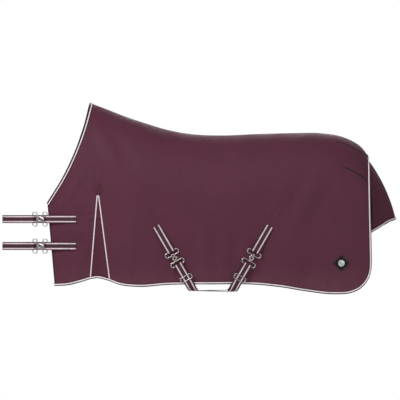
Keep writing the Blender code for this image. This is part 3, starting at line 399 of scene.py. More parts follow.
class SurcingleSide:
    """One side of a surcingle, on the near side. way is 1 where it runs back as it goes down, -1 where forward."""

    def __init__(self, way, level, side, plane=None):
        self.sewn = np.array((SURCINGLE_CROSSING - way * SURCINGLE_HALF_SPREAD, 0, BACK_LINE - SURCINGLE_SEWN_DOWN))
        self.down = np.array((way * math.cos(SURCINGLE_SLOPE), 0, -math.sin(SURCINGLE_SLOPE)))
        self.outward = np.array((0.0, -1.0, 0.0))
        self.across = np.cross(self.outward, self.down)
        self.way, self.level, self.side = way, level, side
        self.plane = plane or self.skin_at(SURCINGLE_RING_AT) + SURCINGLE_STAND_OFF
        self.turn_at = (self.sewn[2] - hem_rear(0.5)[1] + SURCINGLE_BELOW_HEM) / math.sin(SURCINGLE_SLOPE)
        self.ring_bar = self.at(SURCINGLE_RING_AT) - self.outward * LOOP_RADIUS
        self.hook_bar = self.at(SURCINGLE_RING_AT + 2 * RING_DEPTH + CLASP_GAP) - self.outward * LOOP_RADIUS

    def skin_at(self, distance):
        """The furthest out that the cloth comes under the webbing, that far down the strap."""
        half = SURCINGLE_WEBBING / 2
        spots = [self.sewn + self.down * distance + self.across * s for s in (-half, 0, half)]
        return max(cloth_width(self.side, p[0], p[2]) for p in spots)

    def at(self, distance):
        point = self.sewn + self.down * distance
        point[1] = -self.plane
        return point

    def sewn_part(self):
        points = []
        for share in np.linspace(0.0, 0.97, 30):
            point = self.sewn + self.down * SURCINGLE_RING_AT * share
            surface = self.skin_at(SURCINGLE_RING_AT * share) + WEBBING_PLY / 2 + 0.0003
            point[1] = -max(surface, between(surface, self.plane, share**1.8))
            points.append(point)
        return points

    def turn(self):
        """From just under the hem, round the turn and across to the middle of the belly: (points, normals)."""
        start = self.at(self.turn_at)
        centre = np.array((0.0, -self.plane + SURCINGLE_TURN, start[2]))
        points, normals = [start], [self.outward]
        for degrees in range(6, 91, 6):
            a = math.radians(degrees)
            normal = np.array((0.0, -math.cos(a), -math.sin(a)))
            point = centre + normal * (SURCINGLE_TURN + self.level * degrees / 90)
            point[0] = start[0] + self.way * math.cos(SURCINGLE_SLOPE) * SURCINGLE_TURN * a
            points.append(point)
            normals.append(normal)
        last = points[-1]
        for share in np.linspace(0.0, 1.0, 26)[1:]:
            ease = 1.35 * share - 0.35 * share**2
            points.append(np.array((last[0] + (SURCINGLE_CROSSING - last[0]) * ease, last[1] * (1 - share), last[2])))
            normals.append(np.array((0.0, 0.0, -1.0)))
        return points, normals


def joint_place(name):
    return np.array(next(joint["pos_m"] for joint in frame["joints"] if joint["name"] == name))


# ---------------------------------------------------------------- how the cloth drapes
def strap_lines():
    """The lines under the straps in the side view, where the cloth is held smooth: (start, end) as (x, z)."""
    lines = []
    for way in (1, -1):
        x, z = SURCINGLE_CROSSING - way * SURCINGLE_HALF_SPREAD, BACK_LINE - SURCINGLE_SEWN_DOWN
        reach = 0.36
        lines.append(((x, z), (x + way * math.cos(SURCINGLE_SLOPE) * reach, z - math.sin(SURCINGLE_SLOPE) * reach)))
    for down in CHEST_STRAP_DOWN.values():
        z = BACK_LINE - down
        lines.append(((CHEST_X + CHEST_STRAP_SEWN, z), (CHEST_X, z)))
    return lines


STRAP_LINES = strap_lines()
# Creases: middle (x, z), heading in degrees from +X, spacing, half length, half breadth, height as a share.
CREASES = [
    (-0.355, -0.385, 122, 0.036, 0.060, 0.034, 1.0),
    (0.285, -0.385, 58, 0.036, 0.060, 0.034, 1.0),
    (-0.640, -0.402, 6, 0.034, 0.055, 0.030, 1.0),
    (-0.640, -0.552, -8, 0.034, 0.055, 0.030, 1.0),
    (-0.610, -0.215, 84, 0.040, 0.055, 0.034, 0.9),
    (-0.560, -0.060, 118, 0.120, 0.170, 0.110, 1.7),
    (-0.745, -0.270, 60, 0.075, 0.110, 0.060, 1.1),
    (0.420, -0.330, 63, 0.150, 0.190, 0.120, 1.9),
    (0.020, -0.560, 92, 0.110, 0.100, 0.120, 1.5),
    (0.620, -0.300, 110, 0.100, 0.130, 0.080, 1.1),
]


def distance_to(line, x, z):
    (ax, az), (bx, bz) = line
    dx, dz = bx - ax, bz - az
    t = np.clip(((x - ax) * dx + (z - az) * dz) / (dx * dx + dz * dz), 0.0, 1.0)
    return np.hypot(x - ax - t * dx, z - az - t * dz)


def drape(side, x, z):
    """How far the cloth stands out from the body's smooth shape, at places of the side view."""
    cloth = settings("cloth")
    depth = np.clip((crest_line(x) - z) / RUG_DROP, 0.0, 1.0)
    turn = 0.9 if side == NEAR else 2.6
    lean = (x + 0.12 * side * z) * 2 * math.pi
    waves = (0.62 * np.sin(lean / 0.36 + turn) + 0.26 * np.sin(lean / 0.205 + 1.7 * turn)
             + 0.12 * np.sin(lean / 0.12 + 2.9 * turn))
    out = cloth.drape * ramp(0.32, 1.05, depth) * waves
    flip = 1.0 if side == NEAR else -1.0
    for cx, cz, heading, spacing, length, breadth, height in CREASES:
        a = math.radians(heading)
        along = (x - cx) * math.cos(a) + (z - cz) * math.sin(a)
        across = (z - cz) * math.cos(a) - (x - cx) * math.sin(a)
        window = np.exp(-((along / length) ** 2) - (across / breadth) ** 2)
        out = out + flip * cloth.crease * height * window * np.cos(2 * math.pi * across / spacing + 0.4)
    away = np.min([distance_to(line, x, z) for line in STRAP_LINES], axis=0)
    under = np.exp(-((away / 0.045) ** 2))
    out = out * (1 - under) - 0.0018 * under
    label = np.hypot(x - LABEL_AT[0], z - BACK_LINE + LABEL_AT[1])
    out = out * ramp(0.02, 0.09, label)
    for front, rear in DARTS.values():
        line = (pattern_point(front) + (0, DART_BOW / 2), pattern_point(rear) + (0, DART_BOW / 2))
        out = out - 0.0022 * np.exp(-((distance_to(line, x, z) / 0.016) ** 2))
    return out * ramp(0.01, 0.16, depth)


def cloth_width(side, x, z):
    """Distance of the draped outer cloth from the middle plane."""
    x, z = np.asarray(x, float), np.asarray(z, float)
    return half_width(x, z) + drape(side, x, z)


def on_cloth(side, spots):
    """Points of the outer cloth's face at (x, z) places of the side view."""
    spots = np.asarray(spots, float)
    x, z = spots[..., 0], spots[..., 1]
    return np.stack([x, side * cloth_width(side, x, z), z], -1)


def cloth_normal(side, spots, step=0.002):
    """The outward direction of the cloth there. It isn't used close to the back line."""
    spots = np.asarray(spots, float)
    along = on_cloth(side, spots + (step, 0)) - on_cloth(side, spots - (step, 0))
    up = on_cloth(side, spots + (0, step)) - on_cloth(side, spots - (0, step))
    normal = np.cross(along, up)
    normal /= np.linalg.norm(normal, axis=-1, keepdims=True)
    return normal * np.sign(normal[..., 1:2]) * side


# ---------------------------------------------------------------- the rug's surface as a fine grid
def waisted_grid(part, columns, upper, lower):
    """Side-view places of a part's grid, evenly spaced over the body: one row of places for each column."""
    u = np.linspace(0, 1, columns + 1)
    if part == "fore":
        top, foot, pull = along_neck(u), hem_front(u), u**4
        seam_top, seam_foot = along_neck(1.0), hem_front(1.0)
    else:
        top, foot, pull = along_crest(u), hem_rear(u), (1 - u) ** 4
        seam_top, seam_foot = along_crest(0.0), hem_rear(0.0)
    point = pattern_point(GUSSET_POINT)
    share = (seam_top[1] - point[1]) / (seam_top[1] - seam_foot[1])
    waist = between(top, foot, share) + pull[:, None] * (point - between(seam_top, seam_foot, share))
    fine = 1 - np.cos(np.linspace(0, math.pi / 2, 300))
    grid = []
    for i in range(columns + 1):
        column = []
        for start, end, steps, rows in ((top[i], waist[i], fine, upper),
                                        (waist[i], foot[i], np.linspace(0, 1, 60), lower)):
            line = between(start, end, steps[:, None])
            body = np.column_stack([line, half_width(line[:, 0], line[:, 1])])
            gone = np.concatenate([[0], np.cumsum(np.linalg.norm(np.diff(body, axis=0), axis=1))])
            even = np.interp(np.linspace(0, gone[-1], rows + 1), gone, steps)
            column.append(between(start, end, even[:, None]))
        grid.append(np.concatenate([column[0], column[1][1:]]))
    return np.array(grid)


def grid_counts(cell):
    """Columns in front of and behind the gusset seam, and rows above and below the gusset's point."""
    spans = ((3, 0.245), (8, 1.37), (6, 0.56), (4, 0.40))
    return [max(fewest, round(length / cell)) for fewest, length in spans]


class Shell:
    """Gathers corners, faces and the faces' pattern coordinates of one piece."""

    def __init__(self):
        self.corners, self.faces, self.pattern = [], [], []

    def grid(self, points, pattern, flip=False, wrap=False):
        """Adds a sheet of points[i, j]. With wrap its last j joins its first, and pattern has one more j."""
        m, n = points.shape[:2]
        i, j = np.meshgrid(np.arange(m - 1), np.arange(n if wrap else n - 1), indexing="ij")
        k = (j + 1) % n
        faces = np.stack([i * n + j, (i + 1) * n + j, (i + 1) * n + k, i * n + k], -1).reshape(-1, 4)
        spots = np.stack([pattern[i, j], pattern[i + 1, j], pattern[i + 1, j + 1], pattern[i, j + 1]], -2)
        spots = spots.reshape(-1, 4, 2)
        start = len(self.corners)
        self.corners += points.reshape(-1, 3).tolist()
        self.faces += ((faces[:, ::-1] if flip else faces) + start).tolist()
        self.pattern.append((spots[:, ::-1] if flip else spots).reshape(-1, 2))

    def fan(self, ring, spots):
        """Closes a ring of corners with one face."""
        self.faces.append(list(ring))
        self.pattern.append(np.asarray(spots, float).reshape(-1, 2))

    def disc(self, layers, spots):
        """A closed disc of rings of points, with a face over its first ring and its last."""
        layers, spots = np.array(layers), np.array(spots)
        count, sides = layers.shape[:2]
        self.grid(layers, spots, wrap=True)
        for ring in (0, count - 1):
            self.fan(range(ring * sides, (ring + 1) * sides), spots[ring][:-1])

    def sweep(self, points, across, up, profile, pattern=None, cyclic=False, size=None):
        """Carries a closed profile of (across, up) places along a line of points."""
        points, across, up, profile = (np.asarray(a, float) for a in (points, across, up, profile))
        size = np.ones(len(points)) if size is None else np.asarray(size, float)
        section = across[:, None] * profile[None, :, :1] + up[:, None] * profile[None, :, 1:]
        places = points[:, None] + section * size[:, None, None]
        if pattern is None:
            pattern = np.concatenate([[0], np.cumsum(np.linalg.norm(np.roll(profile, -1, 0) - profile, axis=1))])
        else:
            pattern = np.append(pattern, pattern[0])
        along = np.concatenate([[0], np.cumsum(np.linalg.norm(np.diff(points, axis=0), axis=1))])
        start, n = len(self.corners), len(profile)
        if cyclic:
            gap = np.linalg.norm(points[0] - points[-1])
            places = np.concatenate([places, places[:1]])
            along = np.append(along, along[-1] + gap)
        spots = np.stack(np.broadcast_arrays(along[:, None], pattern[None, :]), -1)
        self.grid(places, spots, wrap=True)
        if not cyclic:
            self.fan(range(start, start + n), spots[0, :n])
            self.fan(range(start + (len(places) - 1) * n, start + len(places) * n), spots[-1, :n])

    def mesh(self, name):
        made = bpy.data.meshes.new(name)
        made.from_pydata(self.corners, [], self.faces)
        spots = np.concatenate(self.pattern).astype(np.float32).ravel()
        made.uv_layers.new(name="pattern").data.foreach_set("uv", spots)
        return made


def circle(radius, sides, flatten=1.0):
    angles = np.arange(sides) * 2 * math.pi / sides
    return np.column_stack([np.cos(angles), np.sin(angles) * flatten]) * radius


def tape_profile(reach, plies):
    """A binding's folded section: (outwards, stacking) places, from its edge on the face round to the lining."""
    inside, outside = reach
    middle, half = -plies / 2, plies / 2 + TAPE_PROUD
    angles = np.radians(np.arange(90, -91, -15))
    outer = [(inside, middle + half)]
    outer += [(max(outside, 0.0005) * math.cos(a), middle + half * math.sin(a)) for a in angles]
    outer += [(inside, middle - half)]
    inner_half, inner_out = half - TAPE_PLY, max(outside - TAPE_PLY, 0.0003)
    inner = [(inside, middle - inner_half)]
    inner += [(inner_out * math.cos(a), middle + inner_half * math.sin(a)) for a in angles[::-1]]
    inner += [(inside, middle + inner_half)]
    return np.array(outer + inner)


def webbing_profile(width):
    """A flat strap's section with soft edges, and each corner's place across the strap."""
    half, thick = width / 2, WEBBING_PLY / 2
    soft = thick * 0.8
    edge = [(half - soft + soft * math.sin(a), thick - soft + soft * math.cos(a))
            for a in np.radians((0, 30, 60, 90))]
    top = [(x, thick) for x in np.linspace(-half + soft, half - soft, 9)[1:-1]]
    left = [(-x, y) for x, y in reversed(edge)]
    upper = left + top + edge
    profile = np.array(upper + [(x, -y) for x, y in reversed(upper)])
    return profile, profile[:, 0]


def unit(vectors):
    vectors = np.asarray(vectors, float)
    return vectors / np.linalg.norm(vectors, axis=-1, keepdims=True)


def rounded(points, times=2):
    """Rounds a line's corners off, keeping its ends."""
    points = np.asarray(points, float)
    for _ in range(times):
        cut = np.stack([between(points[:-1], points[1:], 0.25), between(points[:-1], points[1:], 0.75)], 1)
        points = np.concatenate([points[:1], cut.reshape(-1, points.shape[1])[1:-1], points[-1:]])
    return points


def even_steps(points, step, *others):
    """The line's points, and the values that go with them, at even steps."""
    points = np.asarray(points, float)
    gone = np.concatenate([[0], np.cumsum(np.linalg.norm(np.diff(points, axis=0), axis=1))])
    marks = np.linspace(0, gone[-1], max(2, round(gone[-1] / step) + 1))
    found = [np.column_stack([np.interp(marks, gone, np.asarray(a, float)[:, k]) for k in range(3)])
             for a in (points, *others)]
    return found if others else found[0]


# ---------------------------------------------------------------- making pieces
def finish_piece(name, mesh, finish, sharp=38.0, recalculate=True, merge=0.0):
    """Links a piece whose place is in its mesh, with its faces outward and its creases kept."""
    if recalculate or merge:
        bm = bmesh.new()
        bm.from_mesh(mesh)
        if merge:
            bmesh.ops.remove_doubles(bm, verts=bm.verts, dist=merge)
        if recalculate:
            bmesh.ops.recalc_face_normals(bm, faces=bm.faces)
        bm.to_mesh(mesh)
        bm.free()
    mesh.name = name
    if finish:
        mesh.materials.clear()
        mesh.materials.append(finish)
    mesh.shade_smooth()
    mesh.set_sharp_from_angle(angle=math.radians(sharp))
    obj = bpy.data.objects.new(name, mesh)
    bpy.context.scene.collection.objects.link(obj)
    return obj


def baked(obj):
    """Turns an object's modifiers into its plain mesh."""
    bpy.context.view_layer.update()
    mesh = bpy.data.meshes.new_from_object(obj.evaluated_get(bpy.context.evaluated_depsgraph_get()))
    old = obj.data
    obj.modifiers.clear()
    obj.data = mesh
    bpy.data.meshes.remove(old)
    mesh.name = obj.name
    return obj


def thicken(obj, thickness, depth=0.0):
    """Gives a surface its thickness, from depth under its face to depth + thickness."""
    solid = obj.modifiers.new("Thickness", "SOLIDIFY")
    solid.thickness = thickness
    solid.offset = -1 - 2 * depth / thickness
    baked(obj)
    obj.data.shade_smooth()
    obj.data.set_sharp_from_angle(angle=math.radians(50))
    return obj


def place(obj, body, slot, *nodes):
    """Rides a finished piece on its body, and hides the imported nodes that it stands for. The slot is not used."""
    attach(obj, body)
    if nodes:
        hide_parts(*nodes)
    return obj


def pattern_of(points):
    """Pattern coordinates of a sheet of points: metres along its first direction, and down its second."""
    steps = np.linalg.norm(np.diff(points, axis=1), axis=2)
    down = np.concatenate([np.zeros((len(points), 1)), np.cumsum(steps, axis=1)], 1)
    middle = points.shape[1] // 2
    along = np.concatenate([[0], np.cumsum(np.linalg.norm(np.diff(points[:, middle], axis=0), axis=1))])
    return np.stack(np.broadcast_arrays(along[:, None], down), -1)


def rug_grids(cell):
    """Points of the fore and hind part on each side: {(side, part): points[column, row]}."""
    fore, hind, upper, lower = grid_counts(cell)
    found = {}
    for part, columns in (("fore", fore), ("hind", hind)):
        spots = waisted_grid(part, columns, upper, lower)
        for side, _ in SIDES:
            found[side, part] = on_cloth(side, spots)
    return found


def rug_shell(cell):
    shell = Shell()
    for (side, part), points in rug_grids(cell).items():
        pattern = pattern_of(points) * (1, side)
        if part == "hind":
            pattern = pattern + (pattern_point(GUSSET_POINT)[0] - CHEST_X, 0)
        shell.grid(points, pattern, flip=side == NEAR)
    return shell


def rug_ply(name, finish, cell, thickness, depth):
    obj = finish_piece(name, rug_shell(cell).mesh(name), finish, sharp=60, recalculate=False, merge=MERGE)
    return thicken(obj, thickness, depth)


def swept(name, finish, points, across, up, profile, sharp=38.0, merge=0.0, **options):
    """A piece made by carrying a profile along a line."""
    shell = Shell()
    shell.sweep(points, across, up, profile, **options)
    return finish_piece(name, shell.mesh(name), finish, sharp=sharp, merge=merge)


class Edges:
    """The rug's edges as (points, stacking directions, ways out), from the outer cloth's own grid."""

    def __init__(self, cell):
        self.grids = rug_grids(cell)
        bm = bmesh.new()
        bm.from_mesh(rug_shell(cell).mesh("edge_finder"))
        bmesh.ops.remove_doubles(bm, verts=bm.verts, dist=MERGE)
        bm.normal_update()
        self.normals = [np.array(vert.normal) for vert in bm.verts]
        self.tree = KDTree(len(bm.verts))
        for vert in bm.verts:
            self.tree.insert(vert.co, vert.index)
        self.tree.balance()
        bm.free()

    def normal_at(self, point):
        return self.normals[self.tree.find(point)[1]]

    def frames(self, points, inner, extend=0.0):
        """Works out the directions along an edge, and carries each end on by extend."""
        points, inner = np.array(points), np.array(inner)
        normals = np.array([self.normal_at(p) for p in points])
        ahead = unit(np.gradient(points, axis=0))
        out = unit(np.cross(ahead, normals))
        out *= np.sign(np.sum(out * (points - inner), axis=1))[:, None]
        if extend:
            points[0] -= ahead[0] * extend
            points[-1] += ahead[-1] * extend
        return points, normals, out

    def neck(self):
        near, off = self.grids[NEAR, "fore"], self.grids[OFF, "fore"]
        points = np.concatenate([near[:, 0], off[-2::-1, 0]])
        inner = np.concatenate([near[:, 2], off[-2::-1, 2]])
        return self.frames(points, inner, EDGE_OVERRUN)

    def chest(self, side):
        grid = self.grids[side, "fore"]
        return self.frames(grid[0], grid[2])

    def hem_side(self, side):
        fore, hind = self.grids[side, "fore"], self.grids[side, "hind"]
        shares = np.linspace(0, 1, 14)[1:-1]
        insert = on_cloth(side, hem_gusset(shares))
        inside = on_cloth(side, hem_gusset(shares) + (0, 0.02))
        points = np.concatenate([fore[:, -1], insert, hind[:, -1], hind[-1, -2::-1]])
        inner = np.concatenate([fore[:, -3], inside, hind[:, -3], hind[-3, -2::-1]])
        return points, inner

    def hem(self):
        near, off = self.hem_side(NEAR), self.hem_side(OFF)
        points = np.concatenate([near[0], off[0][-2::-1]])
        inner = np.concatenate([near[1], off[1][-2::-1]])
        return self.frames(points, inner, EDGE_OVERRUN)


_made = {}


def edges():
    """The rug's edges, worked out once."""
    if "edges" not in _made:
        _made["edges"] = Edges(settings("cloth").cell)
    return _made["edges"]


# ---------------------------------------------------------------- materials
def add_node(tree, kind, inputs=None, **properties):
    """Adds a node and sets its properties and inputs. A node or socket given as an input is linked to it."""
    made = tree.nodes.new(kind)
    for key, value in properties.items():
        setattr(made, key, value)
    for socket, value in (inputs or {}).items():
        if isinstance(value, bpy.types.Node):
            value = value.outputs[0]
        if isinstance(value, bpy.types.NodeSocket):
            tree.links.new(value, made.inputs[socket])
        else:
            made.inputs[socket].default_value = value
    return made


def new_material(name, **surface):
    """A material with a Principled surface: (material, tree, shader). Keywords name the shader's own sockets."""
    made = bpy.data.materials.new(name)
    made.use_nodes = True
    shader = made.node_tree.nodes["Principled BSDF"]
    for socket, value in surface.items():
        shader.inputs[socket.replace("_", " ")].default_value = value
    return made, made.node_tree, shader


def pattern_place(tree):
    """Metres along and across the cloth's own pattern."""
    split = add_node(tree, "ShaderNodeSeparateXYZ", {0: add_node(tree, "ShaderNodeUVMap", uv_map="pattern")})
    return split.outputs[0], split.outputs[1]


def ribs(tree, place, spacing):
    """A rounded rib for each thread: 0 in the groove, 1 on top."""
    turn = add_node(tree, "ShaderNodeMath", {0: place, 1: math.pi / spacing}, operation="MULTIPLY")
    return add_node(tree, "ShaderNodeMath", {0: add_node(tree, "ShaderNodeMath", {0: turn}, operation="SINE")},
                    operation="ABSOLUTE")


def plain_weave(tree, spacing):
    """Threads each way that take turns on top of each other."""
    swings = []
    for place in pattern_place(tree):
        turn = add_node(tree, "ShaderNodeMath", {0: place, 1: math.pi / spacing}, operation="MULTIPLY")
        swings.append(add_node(tree, "ShaderNodeMath", {0: turn}, operation="SINE"))
    both = add_node(tree, "ShaderNodeMath", {0: swings[0], 1: swings[1]}, operation="MULTIPLY")
    return add_node(tree, "ShaderNodeMath", {0: both, 1: 0.5, 2: 0.5}, operation="MULTIPLY_ADD")


def ripstop(tree, spacing, width):
    """1 on the thicker threads that cross the cloth at even spaces, and 0 between."""
    lines = []
    for place in pattern_place(tree):
        away = add_node(tree, "ShaderNodeMath", {0: place, 1: spacing / 2}, operation="PINGPONG")
        lines.append(add_node(tree, "ShaderNodeMath", {0: away, 1: width / 2}, operation="LESS_THAN"))
    return add_node(tree, "ShaderNodeMath", {0: lines[0], 1: lines[1]}, operation="MAXIMUM")


def mottle(tree, scale, detail=3.0):
    """Soft clouds over the piece."""
    place = add_node(tree, "ShaderNodeTexCoord").outputs["Object"]
    return add_node(tree, "ShaderNodeTexNoise", {"Vector": place, "Scale": scale, "Detail": detail}).outputs["Fac"]


def shades(tree, factor, dark, light, low=0.3, high=0.7):
    """Colour that goes from dark to light as the factor goes from low to high."""
    made = add_node(tree, "ShaderNodeValToRGB", {"Fac": factor})
    for stop, position, colour in zip(made.color_ramp.elements, (low, high), (dark, light)):
        stop.position, stop.color = position, colour
    return made


def times(tree, colour, factor, low, high):
    """The colour multiplied by low where the factor is 0 and by high where it is 1."""
    share = add_node(tree, "ShaderNodeMapRange", {"Value": factor, "To Min": low, "To Max": high})
    return add_node(tree, "ShaderNodeVectorMath", {0: colour, 1: share}, operation="MULTIPLY")


def scaled(colour, share):
    return (*[min(1.0, channel * share) for channel in tuple(colour)[:3]], 1.0)


def uneven(tree, shader, scale, low, high):
    """Gives the surface patches that are more and less rough."""
    haze = {"Value": mottle(tree, scale, 4.0), "From Min": 0.3, "From Max": 0.7, "To Min": low, "To Max": high}
    tree.links.new(add_node(tree, "ShaderNodeMapRange", haze).outputs[0], shader.inputs["Roughness"])


def relief(tree, shader, height, depth):
    made = add_node(tree, "ShaderNodeBump", {"Height": height, "Distance": depth, "Strength": 0.8})
    tree.links.new(made.outputs[0], shader.inputs["Normal"])


def cloth_material(name, colour, spacing, grid=0.0, roughness=0.62, variation=0.10, depth=0.00025):
    """Woven cloth. Clouds give uneven dye and handling marks, the weave its grain, a ripstop grid faint squares,
    and dust greys the last hand's breadth over the hem. Threads are drawn about twice as wide as real ones."""
    made, tree, shader = new_material(name, IOR=1.5, Specular_IOR_Level=0.20, Sheen_Weight=0.06, Sheen_Roughness=0.5,
                                      Sheen_Tint=scaled(colour, 2.5))
    fine = add_node(tree, "ShaderNodeMath", {0: mottle(tree, 38.0, 2.0), 1: 0.35}, operation="MULTIPLY")
    clouds = add_node(tree, "ShaderNodeMath", {0: mottle(tree, 4.5, 5.0), 1: 0.65, 2: fine}, operation="MULTIPLY_ADD")
    base = shades(tree, clouds, scaled(colour, 1 - variation), scaled(colour, 1 + variation))
    weave = plain_weave(tree, spacing)
    toned = times(tree, base, weave, 0.84, 1.06)
    height = weave
    if grid:
        squares = ripstop(tree, grid, spacing * 1.2)
        toned = times(tree, toned, squares, 1.0, 1.22)
        height = add_node(tree, "ShaderNodeMath", {0: squares, 1: 0.9, 2: weave}, operation="MULTIPLY_ADD")
    place = add_node(tree, "ShaderNodeSeparateXYZ", {0: add_node(tree, "ShaderNodeTexCoord").outputs["Object"]})
    low = {"Value": place.outputs[2], "From Min": -0.80, "From Max": -0.62, "To Min": 1.0, "To Max": 0.0}
    near_hem = add_node(tree, "ShaderNodeMapRange", low, interpolation_type="SMOOTHSTEP")
    dust = add_node(tree, "ShaderNodeMath", {0: near_hem, 1: mottle(tree, 16.0, 6.0)}, operation="MULTIPLY")
    share = add_node(tree, "ShaderNodeMath", {0: dust, 1: 0.10}, operation="MULTIPLY")
    dusty = add_node(tree, "ShaderNodeMix", {0: share, 6: toned, 7: hex_to_linear("#9C8A80")}, data_type="RGBA")
    tree.links.new(dusty.outputs[2], shader.inputs["Base Color"])
    uneven(tree, shader, 9.0, roughness - 0.06, roughness + 0.08)
    relief(tree, shader, height, depth)
    return made


def tape_material(name, colour, spacing, roughness):
    """Woven tape with ribs across it, with painted shade in the grooves between the ribs so that they show as fine
    bars, and an uneven tone from handling.
    """
    made, tree, shader = new_material(name, IOR=1.5, Specular_IOR_Level=0.25, Sheen_Weight=0.08)
    along, _ = pattern_place(tree)
    rib = ribs(tree, along, spacing)
    # painted shade: the colour is darkened to 0.80 in the grooves between the ribs, where the bump is low
    toned = times(tree, shades(tree, mottle(tree, 22.0), scaled(colour, 0.88), colour), rib, 0.80, 1.0)
    tree.links.new(toned.outputs[0], shader.inputs["Base Color"])
    uneven(tree, shader, 30.0, roughness - 0.05, roughness + 0.10)
    relief(tree, shader, rib, 0.0002)
    return made


def webbing_material(trim):
    """Woven polypropylene: chevron ribs, two light stripes and a dull plastic gleam. The ribs are drawn 2.4 mm
    apart, where real ones are near 1.5 mm, so that they show."""
    made, tree, shader = new_material("polypropylene_webbing", IOR=1.49, Specular_IOR_Level=0.25)
    along, across = pattern_place(tree)
    from_middle = add_node(tree, "ShaderNodeMath", {0: across}, operation="ABSOLUTE")
    side = add_node(tree, "ShaderNodeMath", {0: from_middle, 1: trim.stripe_spacing / 2}, operation="SUBTRACT")
    away = add_node(tree, "ShaderNodeMath", {0: side}, operation="ABSOLUTE")
    edge = {"Value": away, "From Min": trim.stripe_width / 2 + 0.0003, "From Max": trim.stripe_width / 2 - 0.0003}
    stripe = add_node(tree, "ShaderNodeMapRange", edge)
    zigzag = add_node(tree, "ShaderNodeMath", {0: across, 1: 0.004}, operation="PINGPONG")
    chevron = add_node(tree, "ShaderNodeMath", {0: zigzag, 1: 0.6, 2: along}, operation="MULTIPLY_ADD")
    rib = ribs(tree, chevron, 0.0024)
    ground, light = (shades(tree, mottle(tree, 30.0), scaled(colour, 0.86), scaled(colour, 1.06))
                     for colour in (trim.webbing_colour, trim.stripe_colour))
    both = add_node(tree, "ShaderNodeMix", {0: stripe, 6: ground, 7: light}, data_type="RGBA")
    toned = times(tree, both.outputs[2], rib, 0.76, 1.0)
    tree.links.new(toned.outputs[0], shader.inputs["Base Color"])
    uneven(tree, shader, 25.0, 0.55, 0.70)
    height = add_node(tree, "ShaderNodeMath", {0: ribs(tree, across, 0.0016), 1: 0.4, 2: rib}, operation="MULTIPLY_ADD")
    relief(tree, shader, height, 0.0004)
    return made


def metal_material(name, colour, roughness, scratch):
    """Plated metal: bright, with hazy patches and fine scuffs that break up its highlights."""
    made, tree, shader = new_material(name, Metallic=1.0)
    tone = shades(tree, mottle(tree, 90.0), scaled(colour, 0.82), colour)
    tree.links.new(tone.outputs[0], shader.inputs["Base Color"])
    uneven(tree, shader, 160.0, roughness, roughness + 0.16)
    relief(tree, shader, mottle(tree, scratch, 6.0), 0.00006)
    return made


def thread_material(name, colour):
    """Twisted polyester thread: smooth filaments with a soft gleam, darker in places where it dips."""
    made, tree, shader = new_material(name, Roughness=0.45, IOR=1.55, Sheen_Weight=0.2)
    tone = shades(tree, mottle(tree, 400.0, 1.0), scaled(colour, 0.80), colour)
    tree.links.new(tone.outputs[0], shader.inputs["Base Color"])
    return made


def finishes():
    """Every material, made once, with what each gives the eye."""
    if "finishes" not in _made:
        cloth, trim, metal = settings("cloth"), settings("trim"), settings("metal")
        _made["finishes"] = {
            # Coated oxford polyester: matt and firm, with a faint square ripstop grid.
            "outer": cloth_material("oxford_polyester", cloth.outer_colour, cloth.thread, cloth.ripstop),
            "gusset": cloth_material("oxford_polyester_gusset", cloth.gusset_colour, cloth.thread, cloth.ripstop),
            "flap": cloth_material("oxford_polyester_tail_flap", cloth.flap_colour, cloth.thread, cloth.ripstop),
            # Nylon taffeta: thin and slippery, so glossier and finer than the outer cloth.
            "lining": cloth_material("nylon_taffeta_lining", cloth.lining_colour, 0.0008, 0.0, 0.42, 0.08, 0.00005),
            # Polyester fibre wadding: white, dull and cloudy.
            "wadding": cloth_material("polyester_wadding", hex_to_linear("#E8E6E1"), 0.004, 0.0, 0.90, 0.06, 0.0006),
            # Grosgrain polyester binding: dark and ribbed, with painted shade between the ribs.
            "tape": tape_material("grosgrain_binding_tape", trim.dark_colour, 0.0018, 0.60),
            # Satin-covered cord: pale, with fine bars of painted shade between its ribs, and a soft gleam.
            "piping": tape_material("satin_piping", trim.light_colour, 0.0014, 0.42),
            # Dull plastic webbing with two pale stripes.
            "webbing": webbing_material(trim),
            # Nickel-plated steel wire and castings: bright, a little hazy.
            "steel": metal_material("nickel_plated_steel", metal.steel_colour, 0.22, 600.0),
            # Satin-finished die-cast zinc: softer highlights than the nickel.
            "badge": metal_material("satin_zinc_badge", metal.badge_colour, 0.34, 900.0),
            # Polyester sewing threads: near the cloth's tone, and mauve where they hold the webbing.
            "dark_thread": thread_material("polyester_thread_dark", hex_to_linear("#2C141D")),
            "mauve_thread": thread_material("polyester_thread_mauve", hex_to_linear("#7C5A67")),
            # Damask-woven label: near black, flat and fine.
            "label": cloth_material("damask_label", trim.label_colour, 0.0007, 0.0, 0.70, 0.12, 0.00008),
        }
    return _made["finishes"]


